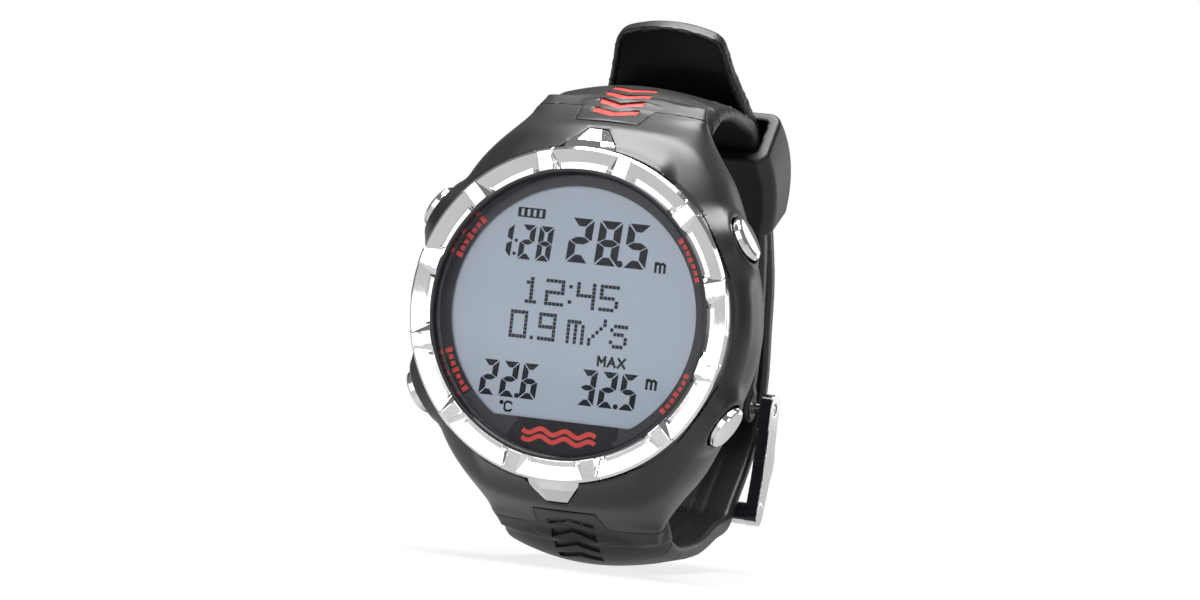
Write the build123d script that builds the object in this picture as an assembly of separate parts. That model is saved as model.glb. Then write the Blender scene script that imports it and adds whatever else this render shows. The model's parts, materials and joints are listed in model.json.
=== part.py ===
"""Wrist dive computer: a round case with a notched bezel, four pushers, a sealed module and a buckled strap.

Millimetres. +X points to three o'clock, +Z to twelve o'clock and the display faces -Y. The origin is the
centre of the case back's flat outer face. Depths are measured from the bezel's top plane towards the wrist.
Everything round about the display is a lathe about Y, and the strap runs in the YZ plane."""

from build123d import *

import os
from math import atan2, cos, degrees, hypot, pi, radians, sin, sqrt, tan

# Case and bezel
CASE_DEPTH = 16.0
BEZEL_R = 22.5
BEZEL_INNER_R = 19.55
BEZEL_DEPTH = 2.8
RIDGES = 12
FIRST_RIDGE_DEG = 15.0
RIDGE_TOP_WIDTH = 1.9
RIDGE_FLANK_DEG = 38.0
RIDGE_DROP = 2.0
CONE_DROP = 0.75
LEDGE_R = 20.45
LEDGE_DEPTH = 1.05
LEDGE_SHARE = 0.64
BARREL_R = 24.1
LUG_END_Z = 28.6
LUG_END_DEPTH = 12.4
LUG_END_LEAN_DEG = 23.3
CAVITY_R = 17.9

# Window and display
LENS_R = 18.9
LENS_TOP = 0.95
LENS_THICKNESS = 1.6
MASK_THICKNESS = 0.15
WINDOW_R = 17.3
WINDOW_FLAT_Z = -14.3
GASKET_THICKNESS = 0.25
LCD_R = 17.6
LCD_GLASS = 0.7
LCD_LEDGE_Z = -15.7

# Pushers
PUSHER_ANGLES = {"upper_right": 30.0, "lower_right": -30.0, "lower_left": 210.0, "upper_left": 150.0}
PUSHER_DEPTH = 6.5
PUSHER_FACE_R = 26.0
PUSHER_CAP_R = 3.05
PUSHER_CAP_HEIGHT = 1.3
STEM_R = 1.2
TUBE_BORE_R = 1.25
TUBE_R = 1.9
TUBE_OUTER_END = 22.1
TUBE_INNER_END = 18.2
WELL_R = 3.35
WELL_FLOOR = 21.9
BOSS_R = 4.0
BOSS_FLARE = 1.3
BOSS_ROOT = 22.4
BOSS_END = 24.7

# Module inside the case
BOARD_R = 15.6
STRIP_Z = 14.8
BACKLIGHT_R = 13.9
BOARD_TOP = 7.2
BOARD_THICKNESS = 1.0
TRAY_R = 17.5
TRAY_TOP = 8.75
TRAY_BOTTOM = 13.15
BATTERY_R = 12.25
BATTERY_TOP = 9.9
BATTERY_THICKNESS = 3.0
BATTERY_Z = 3.6
SENSOR_Z = -12.9
SENSOR_R = 2.9
BACK_R = 21.0
BACK_THICKNESS = 1.2
BACK_PLUG_R = 17.8
BACK_INSIDE = 14.6
BACK_SCREW_PCD_R = 19.4

# Strap loop: its back is part of a circle about this centre, given in Y and Z
LOOP_Y = -2.5
LOOP_Z = -4.0
INNER_LAYER_R = 41.2
OUTER_LAYER_R = 43.9
LAYER = 2.5
SPRING_BAR_Y = -0.9
SPRING_BAR_Z = 27.0
SPRING_BAR_R = 0.9
BARREL_HALF_WIDTH = 9.9
STRAP_BARREL_R = 1.75
SLOT_WIDTH = 3.2
SLOT_LENGTH = 9.3
TIP_CORNER_R = 3.5

# Buckle and keeper
PIN_DEG = -9.2
PIN_PATH_R = 40.6
PIN_R = 0.8
PIN_BARREL_R = 2.2
BAR_DEG = -29.4
BAR_PATH_R = 43.75
BAR_RADIAL = 2.4
BAR_ALONG = 2.8
ARM_INNER_X = 12.7
ARM_OUTER_X = 14.5
TONGUE_WIDTH = 2.4
TONGUE_THICKNESS = 0.9
TONGUE_LIFT = 0.5
RUNNING = 0.06
KEEPER_HALF_WIDTH = 14.4
KEEPER_WINDOW_HALF_WIDTH = 12.5
KEEPER_R = (36.4, 46.6)
KEEPER_WINDOW_R = (38.2, 44.5)
KEEPER_DEG = (28.9, 50.0)


def depth(d):
    """The Y of a depth below the bezel's top plane."""
    return d - CASE_DEPTH


def lathe(points, turn=360.0):
    """A solid of revolution about Y from (radius, depth) corners."""
    corners = [(r, depth(d)) for r, d in points]
    return revolve(make_face(Polyline(*corners, close=True)), Axis.Y, turn)


def ring(outer, inner, top, bottom):
    """A plain ring about Y between two depths."""
    return lathe([(inner, top), (outer, top), (outer, bottom), (inner, bottom)])


def disc(radius, top, bottom):
    """A plain disc about Y between two depths."""
    return lathe([(0, top), (radius, top), (radius, bottom), (0, bottom)])


def block(x, z, width, height, top, bottom):
    """A rectangular block centred on x and z, between two depths."""
    centre = Pos(x, depth((top + bottom) / 2), z)
    return centre * Box(width, bottom - top, height)


def post(x, z, radius, top, bottom):
    """A round post along Y at x and z, between two depths."""
    turned = Rot(90, 0, 0) * Cylinder(radius, bottom - top)
    return Pos(x, depth((top + bottom) / 2), z) * turned


def across(sketch, half_width):
    """A sketch drawn in Y and Z, extruded to both sides along X."""
    return extrude(Plane.YZ * sketch, half_width, both=True)


def rod(y, z, radius, half_length):
    """A round rod along X."""
    return Pos(0, y, z) * (Rot(0, 90, 0) * Cylinder(radius, 2 * half_length))


def loop_point(deg, radius):
    """The Y and Z of a point at an angle and a radius about the strap loop's centre."""
    return LOOP_Y + radius * cos(radians(deg)), LOOP_Z + radius * sin(radians(deg))


def turned_about_y(shape, deg):
    """A shape moved round the dial, clockwise from twelve o'clock."""
    return Rot(0, deg, 0) * shape


# ---------------------------------------------------------------- bezel and window


# Z, half width, top and bottom depth of the tab at twelve and six o'clock
TAB_ROWS = [(20.8, 3.9, 1.0, 4.4), (22.4, 3.9, 0.85, 4.4), (23.9, 2.7, 2.6, 5.2), (25.2, 1.45, 5.0, 6.4)]


def bezel_tab(side):
    """The faceted tab that runs down the case at twelve or six o'clock."""
    corners = []
    for z, half, top, bottom in TAB_ROWS:
        corners += [(x, depth(d), side * z) for x in (-half, half) for d in (top, bottom)]
    return ConvexPolyhedron([Vector(*c) for c in corners])


def bezel():
    """The chromed ring: twelve flat-topped ridges with a cone and a sunk ledge between them."""
    low = BEZEL_DEPTH
    outer = [(BEZEL_R, low), (BEZEL_INNER_R, low)]
    cone = lathe([(BEZEL_INNER_R, CONE_DROP), (BEZEL_R - 0.35, 0.1), (BEZEL_R, 0.45)] + outer)
    envelope = lathe([(BEZEL_INNER_R, 0), (BEZEL_R - 0.3, 0), (BEZEL_R, 0.3)] + outer)
    pitch = 360.0 / RIDGES
    ledge_turn = pitch * LEDGE_SHARE
    inside = BEZEL_INNER_R - 1
    ledge = lathe([(inside, -1), (LEDGE_R, -1), (LEDGE_R, LEDGE_DEPTH), (inside, LEDGE_DEPTH)], ledge_turn)
    ledge = turned_about_y(ledge, -ledge_turn / 2)
    half = RIDGE_TOP_WIDTH / 2
    foot = half + RIDGE_DROP * tan(radians(RIDGE_FLANK_DEG))
    top, bottom = depth(0), depth(RIDGE_DROP)
    outline = Polyline((-half, top), (half, top), (foot, bottom), (-foot, bottom), close=True)
    ridge = Pos(0, 0, inside) * extrude(make_face(outline), BEZEL_R - inside + 1)
    shape = cone
    for k in range(RIDGES):
        shape -= turned_about_y(ledge, -90 + FIRST_RIDGE_DEG + pitch * (k + 0.5))
    for k in range(RIDGES):
        shape += turned_about_y(ridge, FIRST_RIDGE_DEG + pitch * k) & envelope
    shape += bezel_tab(1)
    shape += bezel_tab(-1)
    return shape - disc(BEZEL_INNER_R, -1, CASE_DEPTH)


def lens_ring():
    """The black ring that holds the lens, with a bevelled inner lip."""
    inner, outer = LENS_R + 0.02, BEZEL_INNER_R - 0.02
    return lathe([(inner, 0.45), (inner + 0.2, 0.15), (outer, 0.15), (outer, 3.0), (inner, 3.0)])


def lens():
    """The mineral glass, with a small polished bevel."""
    low = LENS_TOP + LENS_THICKNESS
    bevel = 0.25
    front = [(0, LENS_TOP), (LENS_R - bevel, LENS_TOP), (LENS_R, LENS_TOP + bevel)]
    return lathe(front + [(LENS_R, low), (0, low)])


def display_mask():
    """The dark printed border under the lens, open over the display and flat at six o'clock."""
    top = LENS_TOP + LENS_THICKNESS
    sheet = disc(LENS_R - 0.05, top, top + MASK_THICKNESS)
    window = disc(WINDOW_R, top - 1, top + 1)
    window -= block(0, WINDOW_FLAT_Z - 10, 60, 20, top - 2, top + 2)
    return sheet - window


def lens_gasket():
    """The flat seal under the edge of the lens."""
    top = LENS_TOP + LENS_THICKNESS + MASK_THICKNESS
    return ring(LENS_R - 0.05, CAVITY_R + 0.05, top, top + GASKET_THICKNESS)


def lcd_glass(top, flat_z):
    """One of the display's two round glasses, cut flat at six o'clock."""
    glass = disc(LCD_R, top, top + LCD_GLASS)
    return glass - block(0, flat_z - 10, 60, 20, top - 1, top + 2)


# ---------------------------------------------------------------- case


def case_section(z, half_width, top, bottom):
    """A closed domed outline across the case at a height z, widest a little above its underside."""
    waist = bottom - min(3.2, (bottom - top) * 0.5)
    upper, lower = 2 / 2.4, 2 / 2.8
    points = []
    for k in range(0, 11):
        t = pi * k / 10
        x = half_width * (-1 if t < pi / 2 else 1) * abs(cos(t)) ** upper
        points.append((x, depth(waist - (waist - top) * sin(t) ** upper), z))
    for k in range(1, 6):
        t = pi * k / 6
        x = half_width * (1 if t < pi / 2 else -1) * abs(cos(t)) ** lower
        points.append((x, depth(waist + (bottom - waist) * sin(t) ** lower), z))
    return Wire.make_polygon([Vector(*p) for p in points])


# Z, half width, top and bottom depth of the case's ends, from under the bezel to past the strap joint
LUG_ROWS = [
    (8, 22.4, 2.7, 15.5),
    (15, 18.9, 2.7, 15.6),
    (20, 16.0, 2.9, 15.9),
    (23, 14.4, 3.4, 16.3),
    (25.2, 13.3, 5.9, 16.7),
    (27.0, 12.4, 9.3, 17.0),
    (28.6, 11.9, 12.4, 17.1),
    (29.6, 11.7, 14.2, 17.2),
]


def lug(side):
    """One end of the case, lofted from under the bezel out to the strap."""
    return Solid.make_loft([case_section(side * z, w, t, b) for z, w, t, b in LUG_ROWS], ruled=True)


def end_plane_cut(side):
    """What lies beyond the face where the strap meets the case."""
    lean = Rot(-side * LUG_END_LEAN_DEG, 0, 0) * Pos(0, 0, side * 20) * Box(60, 60, 40)
    return Pos(0, depth(LUG_END_DEPTH), side * LUG_END_Z) * lean


def strap_tab(side, margin):
    """The tapered tongue-shaped block that keys the strap into the top of the case."""
    far, near = LUG_END_Z + 2, 26.4 - margin
    wide, narrow = 5.73 + margin, 4.4 + margin
    corners = [(-narrow, near), (narrow, near), (wide, far), (-wide, far)]
    outline = Polyline(*[(x, side * z) for x, z in corners], close=True)
    return Pos(0, depth(13.6), 0) * extrude(Plane.XZ * make_face(outline), 8)


def case_envelope():
    """The outer shape of the case, before anything is cut from it."""
    top = BEZEL_DEPTH
    profile = [(0, top), (BEZEL_R - 0.1, top), (23.3, 3.7), (23.85, 5.2), (BARREL_R, 7.5), (BARREL_R, 10.5)]
    profile += [(23.7, 12.8), (22.9, 14.5), (22.0, 15.4), (21.6, 15.6), (0, 15.6)]
    shape = lathe(profile)
    for side in (1, -1):
        shape += lug(side)
    boss = Pos(0, 0, BOSS_ROOT) * Cone(BOSS_R + BOSS_FLARE, BOSS_R, 2 * (BOSS_END - BOSS_ROOT))
    for deg in PUSHER_ANGLES.values():
        shape += radial(boss, deg)
    for side in (1, -1):
        shape -= end_plane_cut(side)
    return shape


def radial(shape, deg):
    """A shape built along +Z, laid along a pusher's axis at an angle from three o'clock."""
    return Pos(0, depth(PUSHER_DEPTH), 0) * (Rot(0, 90 - deg, 0) * shape)


def case_body(envelope):
    """The moulded case: the envelope with its window seat, module cavity, pusher wells and strap pockets."""
    shape = envelope - disc(BEZEL_R + 0.02, -1, BEZEL_DEPTH)
    shape -= disc(BEZEL_INNER_R, -1, 3.0)
    shape -= disc(CAVITY_R, 2, CASE_DEPTH + 2)
    shape -= disc(BACK_R + 0.1, CASE_DEPTH - BACK_THICKNESS, CASE_DEPTH + 5)
    for side in (1, -1):
        tab = bezel_tab(side)
        shape -= tab
        shape -= strap_tab(side, 0.06)
        shape -= rod(SPRING_BAR_Y, side * SPRING_BAR_Z, STRAP_BARREL_R + 0.2, BARREL_HALF_WIDTH + 0.2)
        shape -= rod(SPRING_BAR_Y, side * SPRING_BAR_Z, 0.5, 14)
    for deg in PUSHER_ANGLES.values():
        shape -= radial(Pos(0, 0, WELL_FLOOR + 5) * Cylinder(WELL_R, 10), deg)
        shape -= radial(Pos(0, 0, 20) * Cylinder(TUBE_R, 10), deg)
    for x, z in back_screw_places():
        shape -= post(x, z, 0.8, CASE_DEPTH - 4.2, CASE_DEPTH)
    return shape


def back_screw_places():
    """The four case back screws, in X and Z."""
    reach = BACK_SCREW_PCD_R / sqrt(2)
    return [(sx * reach, sz * reach) for sx in (1, -1) for sz in (1, -1)]


def case_back():
    """The steel back plate with its plug, seal groove, screw holes and sensor port."""
    low = CASE_DEPTH
    flange = low - BACK_THICKNESS
    shape = lathe([(0, flange), (BACK_R, flange), (BACK_R, low - 0.35), (BACK_R - 0.35, low), (0, low)])
    shape += disc(BACK_PLUG_R, low - 2.4, low - BACK_THICKNESS)
    shape -= ring(BACK_PLUG_R + 1, 16.9, low - 2.3, low - BACK_THICKNESS - 0.05)
    shape -= disc(15.6, low - 3, BACK_INSIDE)
    for x, z in back_screw_places():
        shape -= post(x, z, 0.85, low - 3, low + 1)
        shape -= post(x, z, 1.6, low - 0.75, low + 1)
    shape -= post(0, SENSOR_Z, SENSOR_R + 0.15, low - 3, low + 1)
    return shape


def back_screws():
    """Four countersunk case back screws with cross recesses."""
    parts = []
    low = CASE_DEPTH
    for x, z in back_screw_places():
        screw = post(x, z, 1.5, low - 0.75, low - 0.1) + post(x, z, 0.78, low - 4.0, low - 0.75)
        for width, height in ((1.8, 0.4), (0.4, 1.8)):
            screw -= block(x, z, width, height, low - 0.5, low)
        parts.append(screw)
    return Compound(children=parts)


def back_seal():
    """The O-ring round the case back's plug."""
    return Pos(0, depth(CASE_DEPTH - 1.78), 0) * (Rot(90, 0, 0) * Torus(17.41, 0.48))


def sensor_grille():
    """The perforated cap over the sensor port."""
    low = CASE_DEPTH
    shape = post(0, SENSOR_Z, SENSOR_R + 0.13, low - 0.7, low - 0.05)
    shape -= post(0, SENSOR_Z, 0.45, low - 2, low + 1)
    for k in range(6):
        angle = radians(60 * k)
        shape -= post(1.7 * cos(angle), SENSOR_Z + 1.7 * sin(angle), 0.45, low - 2, low + 1)
    return shape


def pressure_sensor():
    """The depth sensor: a metal can on a square base."""
    can = post(0, SENSOR_Z, SENSOR_R - 0.4, 10.4, 14.6)
    return can + block(0, SENSOR_Z, 4.6, 4.6, 8.2, 10.4)


def sensor_seal():
    """The O-ring round the depth sensor, in the case back's port."""
    return Pos(0, depth(14.0), SENSOR_Z) * (Rot(90, 0, 0) * Torus(SENSOR_R - 0.15, 0.25))


# ---------------------------------------------------------------- module


def pusher_clearance(top, bottom):
    """Room for the four pushers' inner ends, between two depths."""
    boxes = []
    for deg in PUSHER_ANGLES.values():
        room = Rot(0, 90 - deg, 0) * Pos(0, 0, 17.5) * Box(5.2, bottom - top, 4.2)
        boxes.append(Pos(0, depth((top + bottom) / 2), 0) * room)
    return boxes


def display_holder():
    """The plastic frame that carries the display, its backlight and the rubber contact strips."""
    top = LENS_TOP + 2 + 2 * LCD_GLASS
    shape = ring(LCD_R, 12.0, top, BOARD_TOP)
    shape -= disc(BACKLIGHT_R + 0.1, top - 1, top + 0.85)
    for z in (-STRIP_Z, STRIP_Z):
        shape -= block(0, z, 12.4, 1.5, top - 1, BOARD_TOP + 1)
    for room in pusher_clearance(top - 0.5, BOARD_TOP + 1):
        shape -= room
    return shape


def backlight():
    """The light panel behind the display."""
    top = LENS_TOP + 2 + 2 * LCD_GLASS
    return disc(BACKLIGHT_R, top + 0.03, top + 0.8)


def contact_strips():
    """The two rubber strips that join the display to the board."""
    top = LENS_TOP + 2 + 2 * LCD_GLASS
    return Compound(children=[block(0, z, 12.0, 1.2, top, BOARD_TOP) for z in (-STRIP_Z, STRIP_Z)])


def circuit_board():
    """The round board, with ears under the contact strips."""
    low = BOARD_TOP + BOARD_THICKNESS
    shape = disc(BOARD_R, BOARD_TOP, low)
    for z in (-STRIP_Z, STRIP_Z):
        shape += block(0, z, 13.0, 2.6, BOARD_TOP, low)
    return shape


def board_parts():
    """Crystal, coil and small parts on the board's rear."""
    low = BOARD_TOP + BOARD_THICKNESS
    places = [(-13.2, 4.0, 1.5, 5.5), (-13.2, -2.5, 1.6, 2.4), (13.4, 3.0, 1.2, 2.0), (13.4, -0.5, 1.2, 2.0)]
    return Compound(children=[block(x, z, w, h, low, low + 1.0) for x, z, w, h in places])


def processor():
    """The square processor in the middle of the board, under the battery."""
    low = BOARD_TOP + BOARD_THICKNESS
    return block(0, 2.0, 8.0, 8.0, low, low + 1.1)


def battery_tray():
    """The plastic tray that holds the battery and clears the parts on the board."""
    shape = disc(TRAY_R, TRAY_TOP, TRAY_BOTTOM)
    shape -= post(0, BATTERY_Z, BATTERY_R + 0.12, BATTERY_TOP, TRAY_BOTTOM + 1)
    shape -= post(0, BATTERY_Z, 8.0, TRAY_TOP - 1, TRAY_BOTTOM)
    shape -= block(0, SENSOR_Z, 6.4, 6.4, TRAY_TOP - 1, TRAY_BOTTOM + 1)
    for x in (-13.4, 13.4):
        shape -= block(x, 1.5, 2.8, 12.0, TRAY_TOP - 1, TRAY_TOP + 0.8)
    return shape


def battery():
    """A coin cell with its stepped negative cup."""
    low = BATTERY_TOP + BATTERY_THICKNESS
    cup = post(0, BATTERY_Z, BATTERY_R - 1.2, BATTERY_TOP, BATTERY_TOP + 0.5)
    return cup + post(0, BATTERY_Z, BATTERY_R, BATTERY_TOP + 0.5, low)


def battery_clip():
    """The spring steel bridge over the battery, with its two feet on the tray."""
    low = TRAY_BOTTOM
    bridge = block(0, BATTERY_Z, 30.6, 4.5, low, low + 0.2)
    return bridge - post(0, BATTERY_Z, 1.5, low - 1, low + 1)


def buzzer():
    """The piezo disc on the inside of the case back."""
    return post(0, 4.0, 9.0, BACK_INSIDE - 0.4, BACK_INSIDE)


def switch_contacts():
    """Four sprung leaves on the board's edge, one before each pusher."""
    leaves = []
    for deg in PUSHER_ANGLES.values():
        leaf = Rot(0, 90 - deg, 0) * (Pos(0, 0, BOARD_R + 0.15) * Box(2.6, 2.6, 0.18))
        leaves.append(Pos(0, depth(BOARD_TOP - 0.3), 0) * leaf)
    return Compound(children=leaves)


# ---------------------------------------------------------------- pushers


def turned(points):
    """A solid of revolution about Z from (radius, height) corners, for parts on a pusher's axis."""
    return revolve(Plane.XZ * make_face(Polyline(*points, close=True)), Axis.Z, 360)


def pusher():
    """The cap and stem in one piece, with grooves for the seal and the clip."""
    face = PUSHER_FACE_R
    under = face - PUSHER_CAP_HEIGHT
    cap = [(0, face), (PUSHER_CAP_R - 0.45, face), (PUSHER_CAP_R, face - 0.4), (PUSHER_CAP_R, under)]
    seal_groove = [(STEM_R, 20.9), (0.62, 20.9), (0.62, 20.2), (STEM_R, 20.2)]
    clip_groove = [(STEM_R, 17.72), (0.8, 17.72), (0.8, 17.3), (STEM_R, 17.3)]
    return turned(cap + [(STEM_R, under)] + seal_groove + clip_groove + [(STEM_R, 16.95), (0, 16.95)])


def pusher_seal():
    """The O-ring in the stem's groove."""
    return Pos(0, 0, 20.55) * Torus(0.92, 0.3)


def pusher_clip():
    """The C-shaped clip that keeps the stem in the case."""
    clip = Pos(0, 0, 17.51) * (Cylinder(1.85, 0.34) - Cylinder(0.8, 1))
    return clip - Pos(2, 0, 17.51) * Box(4, 0.9, 1)


def pusher_spring():
    """The return spring between the tube and the cap."""
    length = PUSHER_FACE_R - PUSHER_CAP_HEIGHT - TUBE_OUTER_END - 0.4
    path = Pos(0, 0, TUBE_OUTER_END + 0.2) * Helix(pitch=length / 3.5, height=length, radius=2.2)
    profile = Plane(origin=path @ 0, z_dir=path % 0) * Circle(0.17)
    return sweep(profile, path=path)


def pusher_tubes():
    """The four steel tubes fixed in the case wall."""
    tube = Cylinder(TUBE_R, TUBE_OUTER_END - TUBE_INNER_END) - Cylinder(TUBE_BORE_R, 10)
    tube = Pos(0, 0, (TUBE_INNER_END + TUBE_OUTER_END) / 2) * tube
    return Compound(children=[radial(tube, deg) for deg in PUSHER_ANGLES.values()])


# ---------------------------------------------------------------- strap


def strap_section(y, z, lean, thickness, half_width, crown):
    """A crowned outline across the strap, its top at (y, z) and its outward side leaning in YZ."""
    out_y, out_z = cos(radians(lean)), sin(radians(lean))

    def at(x, drop):
        return x, y - out_y * drop, z - out_z * drop

    edge = min(0.9, thickness * 0.4)
    inner = min(0.5, thickness * 0.2)
    flat, foot, side = half_width - edge, half_width - inner, crown + edge
    top = ThreePointArc(at(-flat, crown), at(0, 0), at(flat, crown))
    right = Spline(at(flat, crown), at(half_width, side), at(foot, thickness))
    under = Line(at(foot, thickness), at(-foot, thickness))
    left = Spline(at(-foot, thickness), at(-half_width, side), at(-flat, crown))
    return Wire([top, right, under, left])


def arc_rows(start, stop, steps, outer, half_widths):
    """Rows of a strap layer that follow the loop's circle at one outer radius."""
    rows = []
    for k in range(steps + 1):
        share = k / steps
        deg = start + (stop - start) * share
        half = half_widths[0] + (half_widths[1] - half_widths[0]) * share
        rows.append((*loop_point(deg, outer), deg, LAYER, half, 0.12))
    return rows


# Rows of the strap: outer Y and Z, lean, thickness, half width and crown
UPPER_OVER = [
    (depth(LUG_END_DEPTH), LUG_END_Z, 156.7, 4.6, 11.9, 1.9),
    (-1.3, 30.2, 128, 3.9, 12.1, 2.1),
    (3.0, 31.9, 100, 3.2, 12.2, 1.8),
    (9.0, 32.2, 84, 2.7, 12.2, 1.2),
    (15.6, 31.1, 73, LAYER, 12.1, 0.6),
]
LOWER_UNDER = [
    (depth(LUG_END_DEPTH), -LUG_END_Z, -156.7, 4.6, 11.9, 1.9),
    (-1.9, -31.0, -140, 4.2, 12.1, 2.2),
    (1.3, -33.0, -113, 3.6, 12.2, 2.1),
    (6.0, -33.8, -92, 3.0, 12.2, 1.6),
    (12.5, -33.2, -82, 2.7, 12.1, 1.1),
    (18.5, -31.9, -74, LAYER, 12.0, 0.6),
    (25.0, -29.6, -67, LAYER, 11.9, 0.25),
]

# Angle, outer radius, lean, thickness and half width of the long half, through the buckle and in the free tail
BUCKLE_CROSSING = [
    (-35, 41.3, -59, LAYER, 11.7),
    (-29.4, 41.9, -52, 2.3, 11.7),
    (-20.5, 43.8, -42, 2.1, 11.7),
    (-13, 45.4, -24, 2.1, 11.7),
    (-3, 45.5, -1, 2.3, 11.7),
    (6, 44.6, 8, LAYER, 11.7),
]
TAIL = [
    (56, 44.5, 45, LAYER, 10.2),
    (61.8, 46.1, 38, 2.4, 8.9),
    (66.0, 48.1, 34, 2.3, 8.0),
    (69.0, 49.75, 32, 2.2, 7.2),
]


def loop_rows(rows):
    """Rows given by an angle and a radius about the strap loop's centre."""
    return [(*loop_point(deg, outer), lean, thick, half, 0.12) for deg, outer, lean, thick, half in rows]


def upper_rows():
    """The short half: up from twelve o'clock, over and down the back to the buckle."""
    return UPPER_OVER + arc_rows(54, -7, 8, INNER_LAYER_R, (12.0, 11.2))


def lower_rows():
    """The long half: under the case, through the buckle, up outside the short half and out as the tail."""
    up_the_back = arc_rows(16, 50, 5, OUTER_LAYER_R, (11.9, 11.1))
    return LOWER_UNDER + loop_rows(BUCKLE_CROSSING) + up_the_back + loop_rows(TAIL)


def tail_tip(shape):
    """The tail with the two corners of its tip rounded."""
    y, z = loop_point(TAIL[-1][0], TAIL[-1][1])
    half, reach = TAIL[-1][4], 12.0
    keep = Plane.XY * Pos(0, -reach / 2) * RectangleRounded(2 * half + 0.6, reach, TIP_CORNER_R)
    keep += Plane.XY * Pos(0, -reach) * Rectangle(2 * half + 6, reach)
    end = Pos(0, y, z) * (Rot(TAIL[-1][2], 0, 0) * extrude(Plane.XZ * keep, 8, both=True))
    below = Pos(0, y, z) * (Rot(TAIL[-1][2], 0, 0) * Pos(0, 0, -60 - reach) * Box(80, 200, 120))
    return shape & (end + below)


def slot_stations():
    """Middle Y, Z and lean of each adjustment slot along the long half."""
    stations = [(20.6, -30.1, -71), (31.4, -25.2, -60), (39.0, -15.9, -37.5)]
    for deg in (0.0, 16.0, 32.0, 48.0):
        stations.append((*loop_point(deg, OUTER_LAYER_R - 1.0), deg))
    return stations


def strap_slots():
    """The row of rectangular adjustment slots."""
    cutter = Box(SLOT_WIDTH, 7, SLOT_LENGTH)
    return [Pos(0, y, z) * (Rot(lean, 0, 0) * cutter) for y, z, lean in slot_stations()]


def strap_half(rows, side, envelope):
    """A strap half with its spring bar barrel and its keyed tab on the case."""
    shape = Solid.make_loft([strap_section(*row) for row in rows])
    bar_z = side * SPRING_BAR_Z
    shape += rod(SPRING_BAR_Y, bar_z, STRAP_BARREL_R, BARREL_HALF_WIDTH)
    shape += strap_tab(side, 0) & envelope
    return shape - rod(SPRING_BAR_Y, bar_z, SPRING_BAR_R, 20)


def strap_upper(envelope):
    """The short strap half, ending in the barrel that the buckle pin runs through."""
    shape = strap_half(upper_rows(), 1, envelope)
    y, z = loop_point(PIN_DEG, PIN_PATH_R)
    shape += rod(y, z, PIN_BARREL_R, 11.2)
    shape -= rod(y, z, PIN_R, 20)
    notch = across(Pos(y, z - 1) * Rectangle(7.0, 6.4), TONGUE_WIDTH / 2 + 0.35)
    return shape - notch


def strap_lower(envelope):
    """The long strap half with its adjustment slots."""
    shape = strap_half(lower_rows(), -1, envelope)
    for cutter in strap_slots():
        shape -= cutter
    return tail_tip(shape)


def spring_bar(side):
    """A spring bar: a tube with a shouldered tip at each end."""
    y, z = SPRING_BAR_Y, side * SPRING_BAR_Z
    return rod(y, z, SPRING_BAR_R, BARREL_HALF_WIDTH - 0.1) + rod(y, z, 0.48, 11.6)


# ---------------------------------------------------------------- buckle and keeper


def buckle_frame():
    """Two arms hung on the pin, joined by the far bar that the strap passes under."""
    pin = loop_point(PIN_DEG, PIN_PATH_R)
    bar = loop_point(BAR_DEG, BAR_PATH_R)
    middle = ((pin[0] + bar[0]) / 2 + 1.1, (pin[1] + bar[1]) / 2)
    bar_block = Pos(*bar) * (Rot(0, 0, BAR_DEG) * RectangleRounded(BAR_RADIAL, BAR_ALONG, 0.7))
    arm = make_hull((Pos(*pin) * Circle(2.15)).edges() + (Pos(*middle) * Circle(2.0)).edges())
    arm += make_hull((Pos(*middle) * Circle(2.0)).edges() + (Pos(*bar) * Circle(1.6)).edges())
    shape = across(arm + bar_block, ARM_OUTER_X) - across(Pos(*middle) * Rectangle(60, 60), ARM_INNER_X)
    shape += across(bar_block, ARM_OUTER_X)
    return shape - rod(*pin, PIN_R + RUNNING, 20)


def buckle_tongue():
    """The tongue: an eye round the pin and a flat blade that rests on the far bar."""
    pin_y, pin_z = loop_point(PIN_DEG, PIN_PATH_R)
    rest_y, rest_z = loop_point(BAR_DEG, BAR_PATH_R + BAR_RADIAL / 2 + 0.04)
    along = atan2(rest_z - pin_z, rest_y - pin_y)
    reach = hypot(rest_y - pin_y, rest_z - pin_z)
    under = TONGUE_LIFT
    blade = Polyline((0, under), (reach - 0.3, under), (reach + 1.5, under + 0.1), (reach + 1.5, under + 0.7),
                     (reach - 0.3, under + TONGUE_THICKNESS), (0, under + TONGUE_THICKNESS), close=True)
    flat = Pos(pin_y, pin_z) * (Rot(0, 0, degrees(along)) * make_face(blade))
    eye = Pos(pin_y, pin_z) * Circle(1.85)
    return across(flat + eye, TONGUE_WIDTH / 2) - rod(pin_y, pin_z, PIN_R + RUNNING, 20)


def keeper():
    """The free loop that holds the tail, curved with the strap."""
    low, high = KEEPER_DEG
    outer = RectangleRounded(2 * KEEPER_HALF_WIDTH, KEEPER_R[1] - KEEPER_R[0], 2.4)
    window = RectangleRounded(2 * KEEPER_WINDOW_HALF_WIDTH, KEEPER_WINDOW_R[1] - KEEPER_WINDOW_R[0], 0.9)
    outer = Pos(0, sum(KEEPER_R) / 2) * outer
    window = Pos(0, sum(KEEPER_WINDOW_R) / 2) * window
    section = Plane.XY * (outer - window)
    swept = revolve(section, Axis.X, high - low)
    return Pos(0, LOOP_Y, LOOP_Z) * (Rot(low, 0, 0) * swept)


def write(name, shape):
    """Writes one piece."""
    export_step(shape, f"parts/{name}.step")
    print(name, round(shape.volume, 2))


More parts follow.
